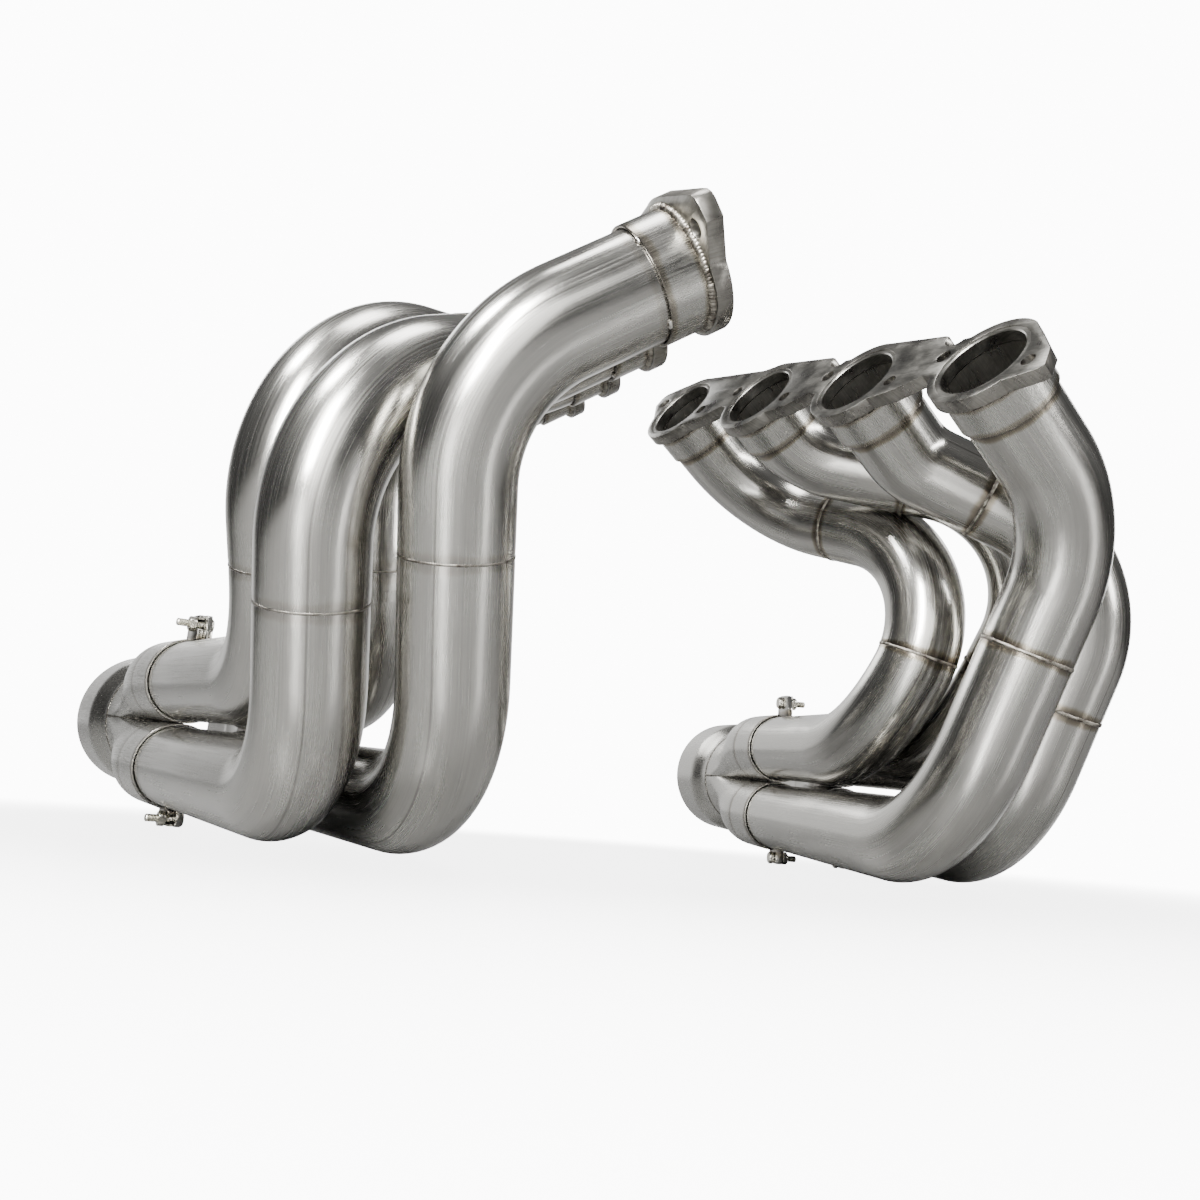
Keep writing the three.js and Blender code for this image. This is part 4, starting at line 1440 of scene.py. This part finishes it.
@dataclass
class Collector:
    """The slip-on four-into-one collector: cups, merge cone and flared outlet.

    Attributes:
        throat_at: from the cups' rims to the weld at the throat.
        throat: radius there.
        outlet: radius of the outlet.
        flare: length of the flare.
        length: whole length.
        sides: points round the cone.
        ripple: from one ripple of a weld to the next.
    """

    throat_at: float = 185.0
    throat: float = 54.0
    outlet: float = 62.0
    flare: float = 42.0
    length: float = 285.0
    sides: int = 144
    ripple: float = 1.5
    welds: Stations = field(default_factory=Stations)

    def cluster_reach(self, angle: np.ndarray, cup: float) -> np.ndarray:
        """Distance from the cluster's middle to the outside of its four cups.

        Args:
            angle: directions, in radians.
            cup: radius of a cup.

        Returns:
            One distance for each direction.
        """
        quarter = math.pi / 2
        off = np.mod(angle, quarter) - quarter / 2
        diagonal = SIZES.cup_spacing / math.sqrt(2)
        across = np.minimum(np.abs(diagonal * np.sin(off)), cup)
        return diagonal * np.cos(off) + np.sqrt(cup**2 - across**2)

    def section(self, along: float, angle: np.ndarray, inner: bool) -> np.ndarray:
        """Radius of the cone's skin, round one section.

        Args:
            along: 0 at the cups, 1 at the throat.
            angle: directions, in radians.
            inner: True for the inner skin.

        Returns:
            One radius for each direction.
        """
        thin = SIZES.sleeve_wall if inner else 0.0
        start = self.cluster_reach(angle, SIZES.sleeve - thin)
        return start + (self.throat - thin - start) * smooth(along)

    def build(self, bank: Bank, finishes: Finishes, clamps: Clamps) -> None:
        """Build the collector's pieces and mark out its welds.

        Args:
            bank: the header it is for.
            finishes: the materials.
            clamps: makes the cups' tabs.
        """
        cup_profile = wall(straight(SIZES.sleeve, SIZES.cup_length), SIZES.sleeve_wall)
        sleeve = turned(cup_profile, 96, [0.0, SIZES.cup_length], lined=True)
        for port in (1, 2, 3, 4):
            shell = sleeve.moved(frame_along(SIZES.cup(port), SIZES.axis, SIZES.aside))
            shell = shell.plus(clamps.cup_tab(bank, port))
            self.finish(bank, f"cup_sleeve_{port}", shell, finishes, Finish.SLEEVE, f"cup_{port}", "sleeve")

        middle = np.array(SIZES.cup_face)
        stations = np.linspace(0, 1, 34)
        angle = np.arange(self.sides) * TAU / self.sides
        start = SIZES.cup_length + 0.1
        span = self.throat_at - 0.3 - start
        rows, gaps = [], []
        for inner, order in ((False, stations), (True, stations[::-1])):
            for s in order:
                radius = self.section(float(s), angle, inner)
                height = np.full(self.sides, start + s * span)
                rows.append(np.stack([radius * np.cos(angle), radius * np.sin(angle), height], axis=1))
                valley = np.abs((angle + math.pi / 4) % (math.pi / 2) - math.pi / 4) * radius
                gaps.append(np.minimum(valley + 60 * s, np.minimum(s, 1 - s) * span))
        cone = grid_shell(np.array(rows), np.array(rows) * MM, np.array(gaps) * MM, lined=True)
        frame = frame_along(middle, SIZES.axis, SIZES.aside)
        self.finish(bank, "merge_shell", cone.moved(frame), finishes, Finish.SHEET, "merge_cone", "collector")

        outer = [(self.throat, 0.0)]
        for t in np.linspace(0.08, 1, 14):
            outer.append((self.throat + (self.outlet - self.throat) * float(smooth(t)), self.flare * t))
        outer += [(self.outlet, self.flare + 20), (self.outlet, self.length - self.throat_at)]
        stub = turned(wall(outer, SIZES.sleeve_wall), 128, [0.0], lined=True)
        stub = stub.moved(frame_along(middle + SIZES.axis * self.throat_at, SIZES.axis, SIZES.aside))
        self.finish(bank, "outlet_shell", stub, finishes, Finish.SHEET, "outlet", "collector")
        self.mark_welds(frame, angle, start, span)

    def mark_welds(self, frame: np.ndarray, angle: np.ndarray, start: float, span: float) -> None:
        """Mark out the collector's weld beads.

        Args:
            frame: the collector's frame.
            angle: directions round the cone.
            start: where the cone begins.
            span: its length.
        """
        turn, shift = frame[:3, :3], frame[:3, 3]
        spokes = np.stack([np.cos(angle), np.sin(angle), 0 * angle], axis=1)
        path = spokes * self.throat + [0, 0, self.throat_at - 0.1]
        self.welds.ring(path @ turn.T + shift, spokes @ turn.T, self.ripple)
        # A bead runs down each valley between two lobes, from the cups to the throat.
        for k in range(4):
            direction = np.array([math.cos(k * math.pi / 2), math.sin(k * math.pi / 2), 0.0])
            path = []
            for s in np.linspace(0.0, 0.98, 40):
                reach = self.section(float(s), np.array([k * math.pi / 2 + 1e-6]), False)[0]
                path.append(direction * (reach - 0.2) + [0, 0, start + s * span])
            normals = np.repeat(direction[None], 40, 0)
            self.welds.ring(np.array(path) @ turn.T + shift, normals @ turn.T, self.ripple, closed=False)
            flat = []
            for z in np.linspace(1.0, start, 24):
                reach = math.sqrt(max(0.0, SIZES.sleeve**2 - (SIZES.cup_spacing / 2) ** 2))
                flat.append(direction * (SIZES.cup_spacing / 2 + reach - 0.2) + [0, 0, z])
            normals = np.repeat(direction[None], 24, 0)
            self.welds.ring(np.array(flat) @ turn.T + shift, normals @ turn.T, self.ripple, closed=False)

    def finish(
        self, bank: Bank, name: str, shell: Shell, finishes: Finishes, finish: Finish, node: str, slot: str
    ) -> None:
        piece = bank.piece(name, shell, [finishes[finish], finishes[Finish.INSIDE]])
        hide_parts(f"{bank.side}_{node}")
        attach(piece, f"{bank.side}_collector")


@dataclass
class Header:
    """One complete header."""

    bank: Bank
    flange: HeadFlange = field(default_factory=HeadFlange)
    collars: Collars = field(default_factory=Collars)
    tubes: PrimaryTubes = field(default_factory=PrimaryTubes)
    clamps: Clamps = field(default_factory=Clamps)
    collector: Collector = field(default_factory=Collector)

    def build(self, finishes: Finishes, stamp: Stamp) -> None:
        """Build every piece, then lay the weld beads that they marked out.

        Args:
            finishes: the materials.
            stamp: the tree for what repeats.
        """
        bank = self.bank
        self.flange.build(bank, finishes)
        self.collars.build(bank, finishes)
        self.tubes.build(bank, finishes, self.clamps)
        self.collector.build(bank, finishes, self.clamps)
        self.clamps.build(bank, finishes, stamp)
        scallop = ripple()
        clean = bank.tube is Finish.PALE_TUBE
        seam_size = (1.1, 0.8, 0.25) if clean else (1.2, 1.4, 0.6)
        seam_finish = Finish.CLEAN_WELD if clean else Finish.BUTT_WELD
        beads = (
            ("butt_welds", self.tubes.welds, seam_size, seam_finish, "tube", "header"),
            ("flange_welds", self.collars.welds, (1.9, 2.6, 1.5), Finish.BUTT_WELD, "sleeve", "header"),
            ("collar_tacks", self.collars.tacks, (3.0, 1.9, 1.1), Finish.TACK_WELD, "sleeve", "header"),
            (
                "collector_welds",
                self.collector.welds,
                (1.3, 1.6, 0.6),
                Finish.CLEAN_WELD,
                "collector",
                "collector",
            ),
        )
        for name, stations, size, finish, slot, body in beads:
            piece = stamp.along(bank, name, stations, scallop, size, 0.16, finishes[finish])
            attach(piece, f"{bank.side}_{body}")
            LOG.info("%s: %d stations", piece.name, len(stations.points))


# ---- Studio -----------------------------------------------------------------------------------
@dataclass(frozen=True)
class Studio:
    """Pale floor, white surroundings, soft lights and the camera.

    Attributes:
        lens: in mm, on a 36 mm square frame.
        eye: the camera's place in the right header's frame, in mm.
        right: the picture's rightward direction.
        down: the picture's downward direction.
        floor_half: half the side of the floor, in metres.
        white: brightness of the white behind the pair.
    """

    lens: float = 33.33
    eye: tuple[float, float, float] = (-833.3, 163.5, 29.3)
    right: tuple[float, float, float] = (-0.2559, -0.9638, 0.0745)
    down: tuple[float, float, float] = (0.1675, -0.12, -0.9785)
    floor_half: float = 12.0
    white: float = 12.0

    def camera(self, bank: Bank) -> None:
        """Set up the camera, low in front of the pair and looking slightly up."""
        data = bpy.data.cameras.new("camera")
        data.sensor_width = 36.0
        data.lens = self.lens
        data.clip_start = 0.01
        camera = bpy.data.objects.new("camera", data)
        x, y = unit(self.right), -unit(self.down)
        z = unit(np.cross(x, y))
        y = np.cross(z, x)
        matrix = axes_matrix(bank.place(np.array([self.eye]))[0], x, y, z)
        camera.matrix_world = Matrix(matrix.tolist())
        bpy.context.scene.collection.objects.link(camera)
        bpy.context.scene.camera = camera

    def floor(self) -> None:
        """Lay a large pale floor that mirrors faintly."""
        mesh = bpy.data.meshes.new("studio_floor")
        half = self.floor_half
        corners = [(-half, -half, 0), (half, -half, 0), (half, half, 0), (-half, half, 0)]
        mesh.from_pydata(corners, [], [(0, 1, 2, 3)])
        material = bpy.data.materials.new("pale_gloss_floor")
        material.use_nodes = True
        tree = material.node_tree
        tree.nodes.clear()
        shader = add_node(
            tree, "ShaderNodeBsdfPrincipled", Base_Color=linear_colour("#8e8e8e"), Roughness=0.3
        )
        # Lit from beneath, as a white light table is, under a sheet of clear acrylic.
        glow = add_node(tree, "ShaderNodeEmission", Color=linear_colour("#ffffff"), Strength=8.5)
        sheen = add_node(tree, "ShaderNodeBsdfGlossy", Color=linear_colour("#ffffff"), Roughness=0.22)
        gloss = add_node(tree, "ShaderNodeMixShader", i0=0.42, i1=glow.outputs[0], i2=sheen.outputs[0])
        # Further out the table's light bleaches it into the white behind.
        where = add_node(tree, "ShaderNodeNewGeometry").outputs["Position"]
        away = add_node(tree, "ShaderNodeVectorMath", {"operation": "LENGTH"}, i0=where)
        fade = add_node(
            tree,
            "ShaderNodeMapRange",
            {"interpolation_type": "SMOOTHSTEP"},
            Value=away.outputs["Value"],
            From_Min=0.35,
            From_Max=0.95,
        )
        clear = add_node(tree, "ShaderNodeBsdfTransparent")
        near_and_far = {"i1": gloss.outputs[0], "i2": clear.outputs[0]}
        faded = add_node(tree, "ShaderNodeMixShader", i0=fade.outputs[0], **near_and_far)
        seen = add_node(tree, "ShaderNodeLightPath")
        mixed = add_node(
            tree,
            "ShaderNodeMixShader",
            i0=seen.outputs["Is Camera Ray"],
            i1=shader.outputs[0],
            i2=faded.outputs[0],
        )
        add_node(tree, "ShaderNodeOutputMaterial", Surface=mixed.outputs[0])
        mesh.materials.append(material)
        floor = bpy.data.objects.new("studio_floor", mesh)
        bpy.context.scene.collection.objects.link(floor)

    def light(
        self, name: str, at: Sequence[float], aim: Sequence[float], size: tuple[float, float], power: float
    ) -> None:
        """Hang one soft box.

        Args:
            name: of the light.
            at: its place, in metres.
            aim: the point that it faces.
            size: width and height, in metres.
            power: in watts.
        """
        data = bpy.data.lights.new(name, "AREA")
        data.shape = "RECTANGLE"
        data.size, data.size_y = size
        data.energy = power
        lamp = bpy.data.objects.new(name, data)
        lamp.location = at
        lamp.rotation_euler = (Vector(aim) - Vector(at)).to_track_quat("-Z", "Y").to_euler()
        bpy.context.scene.collection.objects.link(lamp)

    def surroundings(self) -> None:
        """White behind the pair, and darker to each side of it in reflections."""
        world = bpy.data.worlds.new("studio")
        world.use_nodes = True
        tree = world.node_tree
        tree.nodes.clear()
        direction = add_node(tree, "ShaderNodeTexCoord").outputs["Generated"]
        parts = add_node(tree, "ShaderNodeSeparateXYZ", Vector=direction)
        height = add_node(
            tree,
            "ShaderNodeMapRange",
            Value=parts.outputs[2],
            From_Min=-0.1,
            From_Max=0.9,
            To_Min=0.03,
            To_Max=0.18,
        )
        # The white cove stands behind the pair, towards +x.
        cove = add_node(
            tree,
            "ShaderNodeMapRange",
            {"interpolation_type": "SMOOTHSTEP"},
            Value=parts.outputs[0],
            From_Min=0.72,
            From_Max=0.9,
            To_Min=0.0,
            To_Max=1.2,
        )
        both = {"i0": height.outputs[0], "i1": cove.outputs[0]}
        around = add_node(tree, "ShaderNodeMath", {"operation": "ADD"}, **both)
        seen = add_node(tree, "ShaderNodeLightPath")
        strength = add_node(
            tree,
            "ShaderNodeMix",
            {"data_type": "FLOAT"},
            i0=seen.outputs["Is Camera Ray"],
            i2=around.outputs[0],
            i3=self.white,
        )
        background = add_node(
            tree, "ShaderNodeBackground", Color=linear_colour("#ffffff"), Strength=strength.outputs[0]
        )
        add_node(tree, "ShaderNodeOutputWorld", Surface=background.outputs[0])
        bpy.context.scene.world = world

    def build(self, bank: Bank) -> None:
        """Set the whole studio up round the pair."""
        self.camera(bank)
        self.floor()
        self.surroundings()
        self.light("key_front_left", (-1.7, 1.0, 0.85), (-0.1, 0, 0.2), (0.35, 1.2), 112)
        self.light("soft_front", (-2.2, 0.5, 0.5), (-0.1, 0, 0.2), (1.0, 1.2), 15)
        self.light("fill_front_right", (-1.4, -1.4, 0.8), (0, -0.2, 0.2), (0.25, 1.3), 26)
        self.light("top", (-0.3, 0.2, 1.9), (-0.1, 0, 0), (0.6, 0.6), 16)
        self.light("into_left_ports", (-0.4, 0.72, 1.0), (-0.15, -0.25, 0.33), (0.2, 0.2), 12)
        self.light("rear_soft", (1.7, 0.5, 1.3), (0.1, 0, 0.15), (1.1, 0.8), 16)
        self.light("edge_right", (0.9, -1.8, 0.7), (0, -0.1, 0.2), (0.3, 1.4), 8)


def settled_origin(right: Bank) -> tuple[float, float, float]:
    """Find how far the whole pair was shifted, from one nut, whose box is centred on it.

    Args:
        right: the right bank, before its shift is known.

    Returns:
        The shift, in mm.
    """
    clamps = Clamps()
    matrix, _ = clamps.frame(right, 1)
    bolt, _ = clamps.heights(1)
    middle = clamps.gap * 1.5 + clamps.tab + clamps.nut / 2
    centre = matrix[:3, 3] - SIZES.axis * clamps.before_rim + matrix[:3, 1] * bolt + matrix[:3, 2] * middle
    low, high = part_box("right_clamp_nut_1")
    shift = (np.array(low) + np.array(high)) / 2 / MM - centre
    return (float(shift[0]), float(shift[1]), float(shift[2]))


def main() -> None:
    """Build both headers in their studio."""
    logging.basicConfig(level=logging.INFO, format="%(message)s")
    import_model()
    origin = settled_origin(Bank("right", False, (0.0, 0.0), 0.0, True, 1, Finish.PALE_TUBE))
    banks = (
        Bank("right", False, (0.0, 0.0), 0.0, True, 1, Finish.PALE_TUBE, origin),
        Bank("left", True, (34.0, -112.0), 15.0, False, -1, Finish.TINTED_TUBE, origin),
    )
    Studio().build(banks[0])
    finishes, stamp = Finishes(), Stamp()
    for bank in banks:
        Header(bank).build(finishes, stamp)
        LOG.info("%s header built", bank.side)


if __name__ == "__main__":
    main()
